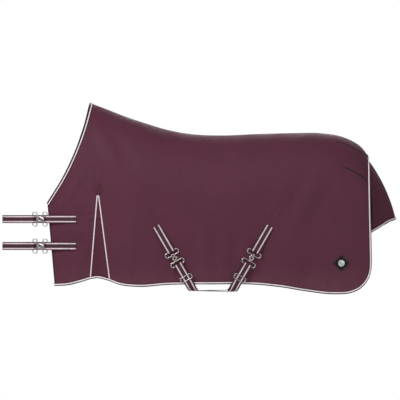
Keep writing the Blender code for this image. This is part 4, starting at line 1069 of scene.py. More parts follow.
# ---------------------------------------------------------------- stitching with Geometry Nodes
def stitch_tree():
    """Lays an even row of stitches along every edge of a mesh of lines."""
    if "stitch_tree" in _made:
        return _made["stitch_tree"]
    tree = bpy.data.node_groups.new("Stitch rows", "GeometryNodeTree")
    for name, kind in (("Lines", "Geometry"), ("Pitch", "Float"), ("Stitch length", "Float"),
                       ("Thread radius", "Float"), ("Thread", "Material")):
        tree.interface.new_socket(name, in_out="INPUT", socket_type="NodeSocket" + kind)
    tree.interface.new_socket("Stitches", in_out="OUTPUT", socket_type="NodeSocketGeometry")
    given = add_node(tree, "NodeGroupInput").outputs
    curve = add_node(tree, "GeometryNodeMeshToCurve", {"Mesh": given["Lines"]})
    marks = add_node(tree, "GeometryNodeResampleCurve", {"Curve": curve, "Length": given["Pitch"]}, mode="LENGTH")
    heading = add_node(tree, "GeometryNodeInputTangent")
    turned = add_node(tree, "FunctionNodeAlignRotationToVector", {"Vector": heading}, axis="Z")
    half = add_node(tree, "ShaderNodeMath", {0: given["Stitch length"], 1: 0.5}, operation="MULTIPLY")
    size = add_node(tree, "ShaderNodeCombineXYZ", {0: given["Thread radius"], 1: given["Thread radius"], 2: half})
    bead = add_node(tree, "GeometryNodeMeshIcoSphere", {"Radius": 1.0, "Subdivisions": 1})
    stitch = add_node(tree, "GeometryNodeTransform", {"Geometry": bead, "Scale": size})
    copies = add_node(tree, "GeometryNodeInstanceOnPoints", {"Points": marks, "Instance": stitch, "Rotation": turned})
    real = add_node(tree, "GeometryNodeRealizeInstances", {0: copies})
    painted = add_node(tree, "GeometryNodeSetMaterial", {"Geometry": real, "Material": given["Thread"]})
    add_node(tree, "NodeGroupOutput", {0: painted})
    _made["stitch_tree"] = tree
    return tree


def stitched(name, rows, thread):
    """A plain mesh of stitches along rows, each a line of points."""
    corners, links = [], []
    for row in rows:
        links += [(len(corners) + i, len(corners) + i + 1) for i in range(len(row) - 1)]
        corners += [tuple(p) for p in row]
    mesh = bpy.data.meshes.new(name)
    mesh.from_pydata(corners, links, [])
    obj = bpy.data.objects.new(name, mesh)
    bpy.context.scene.collection.objects.link(obj)
    trim, tree = settings("trim"), stitch_tree()
    sizes = {"Pitch": trim.stitch_pitch, "Stitch length": trim.stitch_length, "Thread radius": trim.thread_radius,
             "Thread": thread}
    modifier = obj.modifiers.new("Stitches", "NODES")
    modifier.node_group = tree
    for socket in tree.interface.items_tree:
        if socket.in_out == "INPUT" and socket.name in sizes:
            modifier[socket.identifier] = sizes[socket.name]
    baked(obj)
    obj.data.materials.clear()
    obj.data.materials.append(thread)
    obj.data.shade_smooth()
    return obj


def box_and_cross(corner_at, length, width, first=0.004, inset=0.004):
    """Rows of a box stitch with a cross, where corner_at(along, across) gives a point on a strap."""
    half = width / 2 - inset
    a, b, c, d = (first, -half), (first + length, -half), (first + length, half), (first, half)
    rows = []
    for start, end in ((a, b), (b, c), (c, d), (d, a), (a, c), (b, d)):
        rows.append([corner_at(*between(np.array(start), np.array(end), t)) for t in np.linspace(0, 1, 9)])
    return rows


# ---------------------------------------------------------------- the sheets
class RUG_OT_outer_cloth(bpy.types.Operator):
    """Make the draped outer cloth of the rug"""

    bl_idname = "turnout_rug.outer_cloth"
    bl_label = "Outer Cloth"

    def execute(self, context):
        cell = settings("cloth").cell
        obj = rug_ply("outer_cloth", finishes()["outer"], cell, OUTER_CLOTH, 0.0)
        place(obj, "rug", "outer_fabric", "outer_shell")
        return {"FINISHED"}


class RUG_OT_wadding(bpy.types.Operator):
    """Make the wadding between the outer cloth and the lining"""

    bl_idname = "turnout_rug.wadding"
    bl_label = "Wadding"

    def execute(self, context):
        depth = OUTER_CLOTH + PLY_GAP + WADDING_SLACK
        obj = rug_ply("wadding_ply", finishes()["wadding"], WADDING_CELL, WADDING - 2 * WADDING_SLACK, depth)
        place(obj, "rug", "wadding_fill", "wadding")
        return {"FINISHED"}


class RUG_OT_lining(bpy.types.Operator):
    """Make the nylon lining"""

    bl_idname = "turnout_rug.lining"
    bl_label = "Lining"

    def execute(self, context):
        depth = OUTER_CLOTH + WADDING + 2 * PLY_GAP
        obj = rug_ply("lining_ply", finishes()["lining"], LINING_CELL, LINING_CLOTH, depth)
        place(obj, "rug", "lining_fabric", "lining")
        return {"FINISHED"}


# ---------------------------------------------------------------- edges
def bound_edge(name, frames, reach, plies, finish):
    points, normals, out = frames
    return swept(name, finish, points, out, normals, tape_profile(reach, plies))


def row_along(frames, out_by, up_by):
    points, normals, out = frames
    return list(points + out * out_by + normals * up_by)


def piping_along(name, frames, out_by, finish):
    """A cord sewn along the outer face of a binding."""
    points, normals, out = frames
    middle = points + out * out_by + normals * (TAPE_PROUD + PIPING_SEAT)
    return swept(name, finish, middle, out, normals, circle(PIPING_RADIUS, CORD_SIDES))


class RUG_OT_bindings(bpy.types.Operator):
    """Make the bindings of the neck, the chest edges and the hem, with their stitching"""

    bl_idname = "turnout_rug.bindings"
    bl_label = "Edge Bindings"

    def execute(self, context):
        made, neck, hem = finishes(), edges().neck(), edges().hem()
        place(bound_edge("neck_tape", neck, NECK_TAPE, STACK, made["tape"]), "rug", "binding_tape", "neck_binding")
        place(bound_edge("hem_tape", hem, HEM_TAPE, STACK, made["tape"]), "rug", "binding_tape", "hem_binding")
        over, under = TAPE_PROUD + THREAD_SEAT, -STACK - TAPE_PROUD - THREAD_SEAT
        rows = [row_along(neck, NECK_ROW, over), row_along(neck, NECK_ROW, under)]
        rows += [row_along(hem, HEM_ROW, over), row_along(hem, HEM_ROW, under)]
        for side, word in SIDES:
            chest = edges().chest(side)
            tape = bound_edge(f"chest_tape_{word}", chest, CHEST_TAPE, STACK, made["tape"])
            place(tape, "rug", "binding_tape", f"chest_edge_binding_{word}")
            rows += [row_along(chest, CHEST_ROW, over), row_along(chest, CHEST_ROW, under)]
        place(stitched("edge_stitching", rows, made["dark_thread"]), "rug", "binding_tape")
        return {"FINISHED"}


class RUG_OT_edge_piping(bpy.types.Operator):
    """Make the light piping cords on the neck and hem bindings"""

    bl_idname = "turnout_rug.edge_piping"
    bl_label = "Edge Piping"

    def execute(self, context):
        cord = finishes()["piping"]
        neck = piping_along("neck_piping_cord", edges().neck(), NECK_PIPING_OUT, cord)
        place(neck, "rug", "piping_cord", "neck_piping")
        hem = piping_along("hem_piping_cord", edges().hem(), HEM_PIPING_OUT, cord)
        place(hem, "rug", "piping_cord", "hem_binding")
        return {"FINISHED"}


# ---------------------------------------------------------------- gussets and darts
def laid_line(side, spots, lift):
    """Points over the cloth along side-view places, with the cloth's direction and the direction beside the line."""
    spots = np.asarray(spots, float)
    normals = cloth_normal(side, spots)
    points = on_cloth(side, spots) + normals * lift
    beside = unit(np.cross(normals, np.gradient(points, axis=0)))
    return points, beside, normals


def gusset_line(hairpin, foot_share=1.0, steps=48):
    """Side-view line up the front seam of a gusset, round its point, and down its rear seam."""
    point = pattern_point(GUSSET_POINT)
    front, rear = pattern_point(GUSSET_FOOT_FRONT), pattern_point(GUSSET_FOOT_REAR)
    legs = []
    for foot, way in ((front, -1), (rear, 1)):
        start = point + (way * hairpin, 0)
        end = foot + (way * max(hairpin - GUSSET_HAIRPIN, 0.0), 0)
        legs.append([between(start, end, t) for t in np.linspace(0, foot_share, steps)])
    bend = [point + hairpin * np.array((-math.cos(a), math.sin(a))) for a in np.radians(range(20, 161, 20))]
    return legs[0][::-1] + bend + legs[1]


class RUG_OT_gussets(bpy.types.Operator):
    """Make the gusset inserts behind the shoulders, their piping and the patches over their points"""

    bl_idname = "turnout_rug.gussets"
    bl_label = "Gussets"

    def execute(self, context):
        made = finishes()
        point = pattern_point(GUSSET_POINT)
        front, rear = pattern_point(GUSSET_FOOT_FRONT), pattern_point(GUSSET_FOOT_REAR)
        rows = []
        for side, word in SIDES:
            down = np.linspace(0.004, 1, 44)
            u = np.linspace(0, 1, 15)
            spots = np.array([[between(between(point, front, d), between(point, rear, d), s) for d in down]
                              for s in u])
            sag = hem_gusset(u)[:, 1] - between(front, rear, u[:, None])[:, 1]
            spots[..., 1] += sag[:, None] * down**2
            points = on_cloth(side, spots)
            pleat = np.sin(math.pi * u)[:, None] ** 1.5 * ramp(0.1, 1.0, down)[None, :]
            points[..., 1] -= side * (0.0008 + 0.0065 * pleat)
            shell = Shell()
            shell.grid(points, pattern_of(points), flip=side == NEAR)
            insert = finish_piece(f"gusset_insert_{word}", shell.mesh("gusset"), made["gusset"], recalculate=False)
            thicken(insert, 0.0026)
            place(insert, "rug", "outer_fabric", f"gusset_{word}")
            self.cover(side, word, made)
            seat, beside, normals = laid_line(side, gusset_line(GUSSET_HAIRPIN, 0.985), PIPING_SEAT)
            round_cord = circle(PIPING_RADIUS, CORD_SIDES)
            cord = swept(f"gusset_cord_{word}", made["piping"], seat, beside, normals, round_cord)
            place(cord, "rug", "piping_cord", f"gusset_piping_{word}")
            rows.append(laid_line(side, gusset_line(GUSSET_HAIRPIN + 0.0052, 0.97), 0.0003)[0])
            self.patch(side, word, made, rows)
        place(stitched("gusset_stitching", rows, made["dark_thread"]), "rug", "binding_tape")
        return {"FINISHED"}

    def cover(self, side, word, made):
        """The lining's own insert, lapped over the lining on both sides of the slit."""
        point, front, rear = (pattern_point(share) for share in (GUSSET_POINT, GUSSET_FOOT_FRONT, GUSSET_FOOT_REAR))
        down = np.linspace(-0.02, 0.985, 44)
        legs = [between(point, foot, down[:, None]) + (way * 0.006, 0) for foot, way in ((front, -1), (rear, 1))]
        spots = between(legs[0][None], legs[1][None], np.linspace(0, 1, 13)[:, None, None])
        points = on_cloth(side, spots) - cloth_normal(side, spots) * (STACK + 0.0012)
        shell = Shell()
        shell.grid(points, pattern_of(points), flip=side == NEAR)
        obj = finish_piece(f"gusset_lining_{word}", shell.mesh("gusset_lining"), made["lining"], recalculate=False)
        thicken(obj, LINING_CLOTH)
        place(obj, "rug", "lining_fabric", f"gusset_{word}")

    def patch(self, side, word, made, rows):
        """A round-topped reinforcement patch, turned under at its edge."""
        middle = pattern_point(GUSSET_POINT) + (0, 0.0395)
        half, tall = 0.024, 0.027
        angles = np.radians(np.arange(0, 360, 7.5))
        edge = np.array([(half * math.copysign(abs(math.cos(a)) ** 0.72, math.cos(a)),
                          tall * math.copysign(abs(math.sin(a)) ** 0.72, math.sin(a))) for a in angles])
        rings = [(0.0, 0.0013), (0.35, 0.0013), (0.7, 0.0013), (0.93, 0.0013), (0.985, 0.0010), (1.0, 0.0002),
                 (1.0, -0.0006)]
        layers, spots = [], []
        for share, lift in rings:
            places = middle + edge * max(share, 0.001)
            layers.append(on_cloth(side, places) + cloth_normal(side, places) * lift)
            spots.append(np.concatenate([places, places[:1]]))
        shell = Shell()
        shell.disc(layers, spots)
        obj = finish_piece(f"gusset_reinforcement_{word}", shell.mesh("patch"), made["gusset"], sharp=60)
        place(obj, "rug", "outer_fabric", f"gusset_patch_{word}")
        for inset in (0.86, 0.76):
            places = middle + np.concatenate([edge, edge[:1]]) * inset
            rows.append(on_cloth(side, places) + cloth_normal(side, places) * 0.0015)


class RUG_OT_rump_darts(bpy.types.Operator):
    """Make the sewn darts that round the rump"""

    bl_idname = "turnout_rug.rump_darts"
    bl_label = "Rump Darts"

    def execute(self, context):
        made, rows = finishes(), []
        for side, side_word in SIDES:
            for word, (front, rear) in DARTS.items():
                start, end = pattern_point(front), pattern_point(rear)
                t = np.linspace(0, 1, 40)
                spots = between(start, end, t[:, None]) + np.column_stack([0 * t, DART_BOW * 4 * t * (1 - t)])
                points, beside, normals = laid_line(side, spots, 0.0002)
                size = 0.35 + 0.65 * ramp(0.0, 0.25, t) * (1 - 0.3 * ramp(0.9, 1.0, t))
                section = circle(DART_RADIUS, 12, 0.62)
                name = f"dart_welt_{word}_{side_word}"
                welt = swept(name, made["tape"], points, beside, normals, section, size=size)
                place(welt, "rug", "binding_tape", f"rump_dart_{word}_{side_word}")
                for way in (-1, 1):
                    rows.append(points + beside * way * 0.0042 + normals * 0.0002)
        place(stitched("dart_stitching", rows, made["dark_thread"]), "rug", "binding_tape")
        return {"FINISHED"}


# ---------------------------------------------------------------- tail flap
def rear_section_height(y):
    """Height of the outer cloth at the rear edge, at those distances from the middle."""
    x, top = pattern_point(TOPLINE[-1])
    heights = top - np.linspace(0, 0.25, 2000) ** 2 / 0.25
    return np.interp(y, half_width(np.full(2000, x), heights), heights)


def flap_point(u, v):
    """The flap's outer face: u across from near to off, v down from its seam."""
    dock = pattern_point(TOPLINE[-1])
    across = 2 * u - 1
    y = between(FLAP_TOP_HALF_WIDTH, FLAP_HALF_WIDTH, np.sin(math.pi / 2 * v)) * across
    seam_z = rear_section_height(np.abs(FLAP_TOP_HALF_WIDTH * across)) - STACK - FLAP_TUCK - 0.0014
    x_mid = FLAP_REACH * between(v, v * (2 - v), FLAP_BULGE)
    z_mid = FLAP_DROP * between(v, v**2, FLAP_ROUNDING)
    x = dock[0] - FLAP_SEAM_BOW * across**2 + x_mid - (FLAP_SWEEP - FLAP_SEAM_BOW) * v * across**2
    seam_fall = rear_section_height(0.0) - rear_section_height(FLAP_TOP_HALF_WIDTH)
    z = seam_z - z_mid - (FLAP_SIDE_DROP - seam_fall) * v * across**2
    wave = 0.0045 * ramp(0.25, 1.0, v) * np.sin(5.2 * math.pi * u + 0.7) * (1 - across**8)
    return np.stack(np.broadcast_arrays(x + wave, y, z), -1)


class RUG_OT_tail_flap(bpy.types.Operator):
    """Make the tail flap, which hangs from the rug's rear edge"""

    bl_idname = "turnout_rug.tail_flap"
    bl_label = "Tail Flap"

    def execute(self, context):
        made = finishes()
        across, down = np.linspace(0, 1, 45), np.linspace(0, 1, 37)
        points = flap_point(across[:, None], down[None, :])
        under = FLAP_CLOTH + PLY_GAP
        for name, finish, slot, node, depth, ply in (
            ("tail_flap_cloth", "flap", "outer_fabric", "tail_flap_outer", 0.0, FLAP_CLOTH),
            ("tail_flap_inner", "lining", "lining_fabric", "tail_flap_lining", under, FLAP_LINING),
        ):
            shell = Shell()
            shell.grid(points, pattern_of(points), flip=True)
            obj = finish_piece(name, shell.mesh(name), made[finish], recalculate=False)
            thicken(obj, ply, depth)
            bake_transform(obj)
            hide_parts(node)
        plies = under + FLAP_LINING
        foot = self.frames(points[:, -1], points[:, -3], points, -1)
        tape = bound_edge("tail_flap_tape", foot, HEM_TAPE, plies, made["tape"])
        place(tape, "tail_flap", "binding_tape", "tail_flap_binding")
        cord = piping_along("tail_flap_piping", foot, HEM_PIPING_OUT, made["piping"])
        place(cord, "tail_flap", "piping_cord", "tail_flap_binding")
        rows = [row_along(foot, HEM_ROW, TAPE_PROUD + THREAD_SEAT)]
        for index, word in ((0, "near"), (-1, "off")):
            inner = 2 if index == 0 else -3
            side = self.frames(points[index], points[inner], points, None, index)
            trim = bound_edge(f"tail_flap_side_{word}", side, FLAP_SIDE_TAPE, plies, made["tape"])
            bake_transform(trim)
            rows.append(row_along(side, FLAP_SIDE_ROW, TAPE_PROUD + THREAD_SEAT))
        sewn = stitched("tail_flap_stitching", rows, made["dark_thread"])
        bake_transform(sewn)
        return {"FINISHED"}

    def frames(self, edge, inner, grid, row, column=None):
        """The flap's edge as (points, stacking directions, ways out)."""
        du, dv = np.gradient(grid, axis=0), np.gradient(grid, axis=1)
        normals = unit(np.cross(du, dv))
        normals = normals[:, row] if column is None else normals[column]
        normals = normals * np.sign(normals[:, :1])
        out = unit(np.cross(np.gradient(edge, axis=0), normals))
        out *= np.sign(np.sum(out * (edge - inner), axis=1))[:, None]
        return edge, normals, out


# ---------------------------------------------------------------- webbing straps
def strap_piece(name, points, across, width, finish, normals=None):
    """Webbing along points; its ends are cut square and its edges are soft."""
    points = np.asarray(points, float)
    across = np.broadcast_to(np.asarray(across, float), points.shape)
    points, across = even_steps(points, STRAP_STEP / 2, across)
    tangent = unit(np.gradient(points, axis=0))
    across = unit(across - tangent * np.sum(across * tangent, axis=1)[:, None])
    profile, spots = webbing_profile(width)
    return swept(name, finish, points, across, np.cross(tangent, across), profile, sharp=50, pattern=spots)


def loop_round_bar(bar, along, normal):
    """Middle of the ply from over the bar, round its far side, and sewn back under the strap."""
    points = []
    for degrees in range(90, -91, -12):
        a = math.radians(degrees)
        points.append(bar + along * LOOP_RADIUS * math.cos(a) + normal * LOOP_RADIUS * math.sin(a))
    rise = LOOP_RADIUS - WEBBING_PLY - 0.0002
    for share, height in ((0.16, -0.85 * LOOP_RADIUS), (0.34, -0.1 * LOOP_RADIUS), (0.52, rise), (1.0, rise)):
        points.append(bar - along * LOOP_RETURN * share + normal * height)
    return points


def mirrored(points):
    return [p * (1, -1, 1) for p in points]


def path_spot(points, across, lift):
    """A function that gives a place on a strap: distance along its path, distance across, over its face."""
    points = np.asarray(points, float)
    gone = np.concatenate([[0], np.cumsum(np.linalg.norm(np.diff(points, axis=0), axis=1))])

    def spot(distance, sideways):
        here = np.array([np.interp(distance, gone, points[:, k]) for k in range(3)])
        ahead = np.array([np.interp(distance + 0.002, gone, points[:, k]) for k in range(3)])
        normal = np.cross(unit(ahead - here), across)
        return here + across * sideways + unit(normal) * lift

    return spot


def end_box(path, across, side, length, width):
    """The box stitch at a strap's sewn end, on the face away from the horse."""
    ahead = np.asarray(path[3]) - np.asarray(path[1])
    face = math.copysign(1.0, np.cross(ahead, across)[1] * side)
    return box_and_cross(path_spot(path, across, face * STRAP_LIFT), length, width)


def bar_rows(bar, along, strap, half):
    """Two rows of stitching across the webbing where it is sewn back."""
    rows = []
    for back in BAR_ROWS:
        middle = bar - along * back + strap.outward * (LOOP_RADIUS + STRAP_LIFT)
        rows.append([middle + strap.across * s for s in np.linspace(-half, half, 9)])
    return rows


class RUG_OT_chest_straps(bpy.types.Operator):
    """Make the two chest straps"""

    bl_idname = "turnout_rug.chest_straps"
    bl_label = "Chest Straps"

    def execute(self, context):
        made, rows = finishes(), []
        for word in CHEST_STRAP_DOWN:
            line = ChestLine(word)
            panel = rounded(line.over_panel(NEAR))
            near = np.concatenate([panel, loop_round_bar(line.ring_bar, line.forward, line.outward)])
            strap = strap_piece(f"chest_webbing_{word}_near", near, line.across, CHEST_WEBBING, made["webbing"])
            place(strap, "rug", "webbing", f"chest_strap_{word}_near")
            rows += end_box(near, line.across, NEAR, CHEST_BOX, CHEST_WEBBING)
            rows += bar_rows(line.ring_bar, line.forward, line, CHEST_BAR_ROW)

            bend = line.bend()
            off = mirrored(rounded(line.over_panel(OFF)))
            off += mirrored([line.start, line.ahead(line.straight * 0.5), line.bend_start, *bend])
            end = bend[-2::-1] + [line.bend_start] + loop_round_bar(line.hook_bar, -line.forward, line.outward)
            path = np.array(off + end)
            strap = strap_piece(f"chest_webbing_{word}_loop", path, line.across, CHEST_WEBBING, made["webbing"])
            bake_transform(strap)
            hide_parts(f"chest_strap_{word}_off", f"chest_strap_{word}_end")
            rows += end_box(path, line.across, OFF, CHEST_BOX, CHEST_WEBBING)
            moving = bar_rows(line.hook_bar, -line.forward, line, CHEST_BAR_ROW)
            sewn = stitched(f"chest_end_stitching_{word}", moving, made["mauve_thread"])
            place(sewn, f"chest_{word}_end", "webbing")
        place(stitched("chest_strap_stitching", rows, made["mauve_thread"]), "rug", "webbing")
        return {"FINISHED"}


def surcingle_sides(word, way, level):
    """The near side, in the plane of its packed clasp, and the off side."""
    plane = -joint_place(f"surcingle_{word}_ring_tilt")[1] + LOOP_RADIUS
    return SurcingleSide(way, level, NEAR, plane), SurcingleSide(-way, level, OFF)


SURCINGLES = {"front": (1, 0.0), "rear": (-1, BELLY_STACK)}


class RUG_OT_surcingles(bpy.types.Operator):
    """Make the two crossed surcingles under the belly"""

    bl_idname = "turnout_rug.surcingles"
    bl_label = "Surcingles"

    def execute(self, context):
        made, rows = finishes(), []
        for word, (way, level) in SURCINGLES.items():
            near, off = surcingle_sides(word, way, level)
            sewn = rounded(near.sewn_part())
            anchor = np.concatenate([sewn, loop_round_bar(near.ring_bar, near.down, near.outward)])
            strap = strap_piece(f"surcingle_webbing_{word}_anchor", anchor, near.across, SURCINGLE_WEBBING,
                                made["webbing"])
            place(strap, "rug", "webbing", f"surcingle_{word}_anchor")
            rows += end_box(anchor, near.across, NEAR, SURCINGLE_BOX, SURCINGLE_WEBBING)
            rows += bar_rows(near.ring_bar, near.down, near, SURCINGLE_BAR_ROW)

            points, across = self.turned(near)
            clasp_end = SURCINGLE_RING_AT + 2 * RING_DEPTH + CLASP_GAP + 0.01
            top = [near.at(d) for d in np.linspace(near.turn_at, clasp_end, 20)]
            loop = loop_round_bar(near.hook_bar, -near.down, near.outward)
            path = np.array(list(points[::-1]) + top[1:] + loop)
            wide = np.array(list(-across[::-1]) + [-near.across] * (len(top) - 1 + len(loop)))
            strap = strap_piece(f"surcingle_webbing_{word}_near", path, wide, SURCINGLE_WEBBING, made["webbing"])
            hinge = near.at(near.turn_at)
            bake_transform(strap)
            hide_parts(f"surcingle_{word}_end")
            moving = bar_rows(near.hook_bar, -near.down, near, SURCINGLE_BAR_ROW)
            sewn = stitched(f"surcingle_end_stitching_{word}", moving, made["mauve_thread"])
            place(sewn, f"surcingle_{word}_near_end", "webbing")

            points, across = self.turned(off)
            up = rounded(off.sewn_part())
            rest = [off.at(d) for d in np.linspace(SURCINGLE_RING_AT, off.turn_at, 14)[:-1]]
            path = np.array(mirrored(list(up) + rest + list(points)))
            wide = np.array(mirrored([off.across] * (len(up) + len(rest)) + list(across)))
            strap = strap_piece(f"surcingle_webbing_{word}_off", path, wide, SURCINGLE_WEBBING, made["webbing"])
            place(strap, "rug", "webbing", f"surcingle_{word}_belly")
            wide_way = mirrored([off.across])[0]
            rows += end_box(path, wide_way, OFF, SURCINGLE_BOX, SURCINGLE_WEBBING)
        place(stitched("surcingle_stitching", rows, made["mauve_thread"]), "rug", "webbing")
        return {"FINISHED"}

    def turned(self, side):
        """The turn under the belly: points, and the direction across the webbing at each."""
        points, normals = side.turn()
        points = np.array(points)
        across = unit(np.cross(np.array(normals), np.gradient(points, axis=0)))
        across[0] = side.across
        return points, across


# ---------------------------------------------------------------- clasps and sliders
def frame_path(depth, span, corner, lift=0.0, steps=7):
    """A rounded rectangle: x along the strap from the webbing bar, y across. Also the way out at each point."""
    points, out = [], []
    for cx, cy, start in ((depth - corner, span / 2 - corner, 0), (corner, span / 2 - corner, 90),
                          (corner, -span / 2 + corner, 180), (depth - corner, -span / 2 + corner, 270)):
        for angle in np.radians(np.linspace(start, start + 90, steps)):
            out.append((math.cos(angle), math.sin(angle), 0.0))
            points.append((cx + corner * math.cos(angle), cy + corner * math.sin(angle), lift))
    return np.array(points), np.array(out)


def wire_frame(shell, depth, span, corner, radius, lift=0.0, shift=0.0, thick=1.0):
    points, out = frame_path(depth, span, corner, lift)
    up = np.broadcast_to((0.0, 0.0, 1.0), points.shape)
    shell.sweep(points + (shift, 0, 0), out, up, circle(radius, WIRE_SIDES, thick), cyclic=True)


def put_in_place(shell, origin, x_axis, y_axis, z_axis):
    """Moves a shell's corners from its own axes to where the piece is."""
    axes = np.array((x_axis, y_axis, z_axis))
    shell.corners = (np.array(shell.corners) @ axes + origin).tolist()


def plate_with_eye(shell, low, high):
    """The hook's diamond plate with a round eye, between two heights."""
    middle = RING_DEPTH + CLASP_GAP / 2
    sides = 40
    corners = [(RING_DEPTH, HOOK_NECK / 2), (RING_DEPTH + 0.0035, HOOK_NECK / 2), (middle - 0.0025, HOOK_HEAD / 2),
               (middle + 0.0025, HOOK_HEAD / 2), (RING_DEPTH + CLASP_GAP - 0.0035, HOOK_NECK / 2),
               (RING_DEPTH + CLASP_GAP + WIRE_RADIUS + HOOK_PLAY, HOOK_NECK / 2)]
    edge = np.array([(x, y) for x, y in corners] + [(x, -y) for x, y in reversed(corners)])
    edge = np.concatenate([edge, edge[:1]])
    edge = rounded(np.column_stack([edge, np.zeros(len(edge))]), 2)[:, :2]
    angle = np.unwrap(np.arctan2(edge[:, 1], edge[:, 0] - middle))
    order = np.argsort(angle)
    marks = np.linspace(angle.min(), angle.min() + 2 * math.pi, sides, endpoint=False)
    outer = np.column_stack([np.interp(marks, angle[order], edge[order, k]) for k in (0, 1)])
    hole = np.column_stack([middle + HOOK_EYE_RADIUS * np.cos(marks), HOOK_EYE_RADIUS * np.sin(marks)])
    soft = settings("metal").edge_round
    inset = between(outer, hole, soft / 0.004)
    wide_hole = between(hole, outer, soft / 0.004)
    rings = [(hole, low + soft), (wide_hole, low), (inset, low), (outer, low + soft), (outer, high - soft),
             (inset, high), (wide_hole, high), (hole, high - soft), (hole, low + soft)]
    points = np.array([np.column_stack([ring, np.full(sides, z)]) for ring, z in rings])
    spots = np.array([np.concatenate([ring, ring[:1]]) for ring, _ in rings])
    shell.grid(points, spots, wrap=True)


def ring_piece(name, origin, along, across, finish):
    """A plain clasp ring of bent wire."""
    shell = Shell()
    wire_frame(shell, RING_DEPTH, RING_SPAN, RING_CORNER, WIRE_RADIUS)
    put_in_place(shell, origin, along, across, np.cross(along, across))
    return finish_piece(name, shell.mesh(name), finish, merge=FINE_MERGE)


def hook_piece(name, origin, along, across, outward, finish):
    """A hook frame: bent wire, a sleeve round its front bar, a plate with an eye, and a lip behind the ring."""
    shell = Shell()
    wire_frame(shell, RING_DEPTH, RING_SPAN, RING_CORNER, WIRE_RADIUS)
    low = WIRE_RADIUS + HOOK_FACE_GAP
    high = low + HOOK_PLATE
    plate_with_eye(shell, low, high)
    y_axis, z_axis = np.array((0.0, 1.0, 0.0)), np.array((0.0, 0.0, 1.0))
    x_axis = np.array((1.0, 0.0, 0.0))
    sleeve = [np.array((RING_DEPTH, y, 0.0006)) for y in (-0.0064, -0.0060, 0.0060, 0.0064)]
    shell.sweep(sleeve, [x_axis] * 4, [z_axis] * 4, circle(WIRE_RADIUS + 0.0012, 20), size=(0.9, 1.0, 1.0, 0.9))
    tip = RING_DEPTH + CLASP_GAP + WIRE_RADIUS + HOOK_PLAY + HOOK_PLATE / 2
    middle = (low + high) / 2
    bend = 0.0022
    path = [(tip - 0.009, middle), (tip - bend, middle)]
    path += [(tip - bend + bend * math.sin(a), middle - bend + bend * math.cos(a))
             for a in np.radians((22, 45, 67, 90))]
    path += [(tip, 0.0012), (tip, -HOOK_LIP_REACH)]
    line = np.array([(x, 0.0, z) for x, z in path])
    heading = unit(np.gradient(line, axis=0))
    half_neck, half_plate, soft = HOOK_NECK / 2 * 0.97, HOOK_PLATE / 2, 0.0006
    section = rounded([(half_neck, half_plate), (-half_neck, half_plate), (-half_neck, -half_plate),
                       (half_neck, -half_plate), (half_neck, half_plate)], 1)[:-1]
    size = np.ones(len(line))
    size[-1] = 1 - soft / half_plate * 0.4
    shell.sweep(line, [y_axis] * len(line), np.cross(heading, y_axis), section, size=size)
    put_in_place(shell, origin, along, across, outward)
    return finish_piece(name, shell.mesh(name), finish, sharp=35, merge=FINE_MERGE)


def slider_piece(name, origin, along, across, finish):
    """A three-bar slider: a wire frame over the webbing, and a middle bar behind it."""
    shell = Shell()
    lift = WEBBING_PLY / 2 + SLIDER_CLEARANCE + SLIDER_WIRE
    wire_frame(shell, SLIDER_DEPTH, SLIDER_SPAN, RING_CORNER * 0.7, SLIDER_WIRE, lift, -SLIDER_DEPTH / 2)
    half = SLIDER_SPAN / 2
    bend = [(half - 0.0001, lift), (half - 0.0004, lift * 0.4), (half - 0.0013, -lift * 0.7), (half - 0.0032, -lift)]
    bar = np.array([(0.0, -y, z) for y, z in bend] + [(0.0, y, z) for y, z in reversed(bend)])
    heading = unit(np.gradient(bar, axis=0))
    x_axis = np.broadcast_to((1.0, 0.0, 0.0), bar.shape)
    shell.sweep(bar, x_axis, np.cross(heading, x_axis), circle(SLIDER_BAR_WIRE, WIRE_SIDES))
    put_in_place(shell, origin, along, across, np.cross(along, across))
    return finish_piece(name, shell.mesh(name), finish, merge=FINE_MERGE)


class RUG_OT_clasps(bpy.types.Operator):
    """Make the clasp rings, the hooks and the sliders"""

    bl_idname = "turnout_rug.clasps"
    bl_label = "Clasps and Sliders"

    def execute(self, context):
        steel = finishes()["steel"]
        for word in CHEST_STRAP_DOWN:
            line = ChestLine(word)
            ring = ring_piece(f"clasp_ring_chest_{word}", line.ring_bar, line.forward, line.across, steel)
            place(ring, f"chest_{word}_ring_frame", "steel", f"chest_ring_{word}")
            hook = hook_piece(f"clasp_hook_chest_{word}", line.hook_bar, -line.forward, -line.across, line.outward,
                              steel)
            place(hook, f"chest_{word}_hook_frame", "steel", f"chest_hook_{word}")
        for word, (way, level) in SURCINGLES.items():
            near, _ = surcingle_sides(word, way, level)
            ring = ring_piece(f"clasp_ring_surcingle_{word}", near.ring_bar, near.down, near.across, steel)
            place(ring, f"surcingle_{word}_ring_frame", "steel", f"surcingle_{word}_ring")
            hook = hook_piece(f"clasp_hook_surcingle_{word}", near.hook_bar, -near.down, -near.across, near.outward,
                              steel)
            place(hook, f"surcingle_{word}_hook_frame", "steel", f"surcingle_{word}_hook")
            at = near.at(near.turn_at - SLIDER_FROM_TURN)
            slider = slider_piece(f"surcingle_slider_{word}", at, near.down, near.across, steel)
            place(slider, f"surcingle_{word}_adjuster", "steel", f"surcingle_{word}_slider")
        return {"FINISHED"}


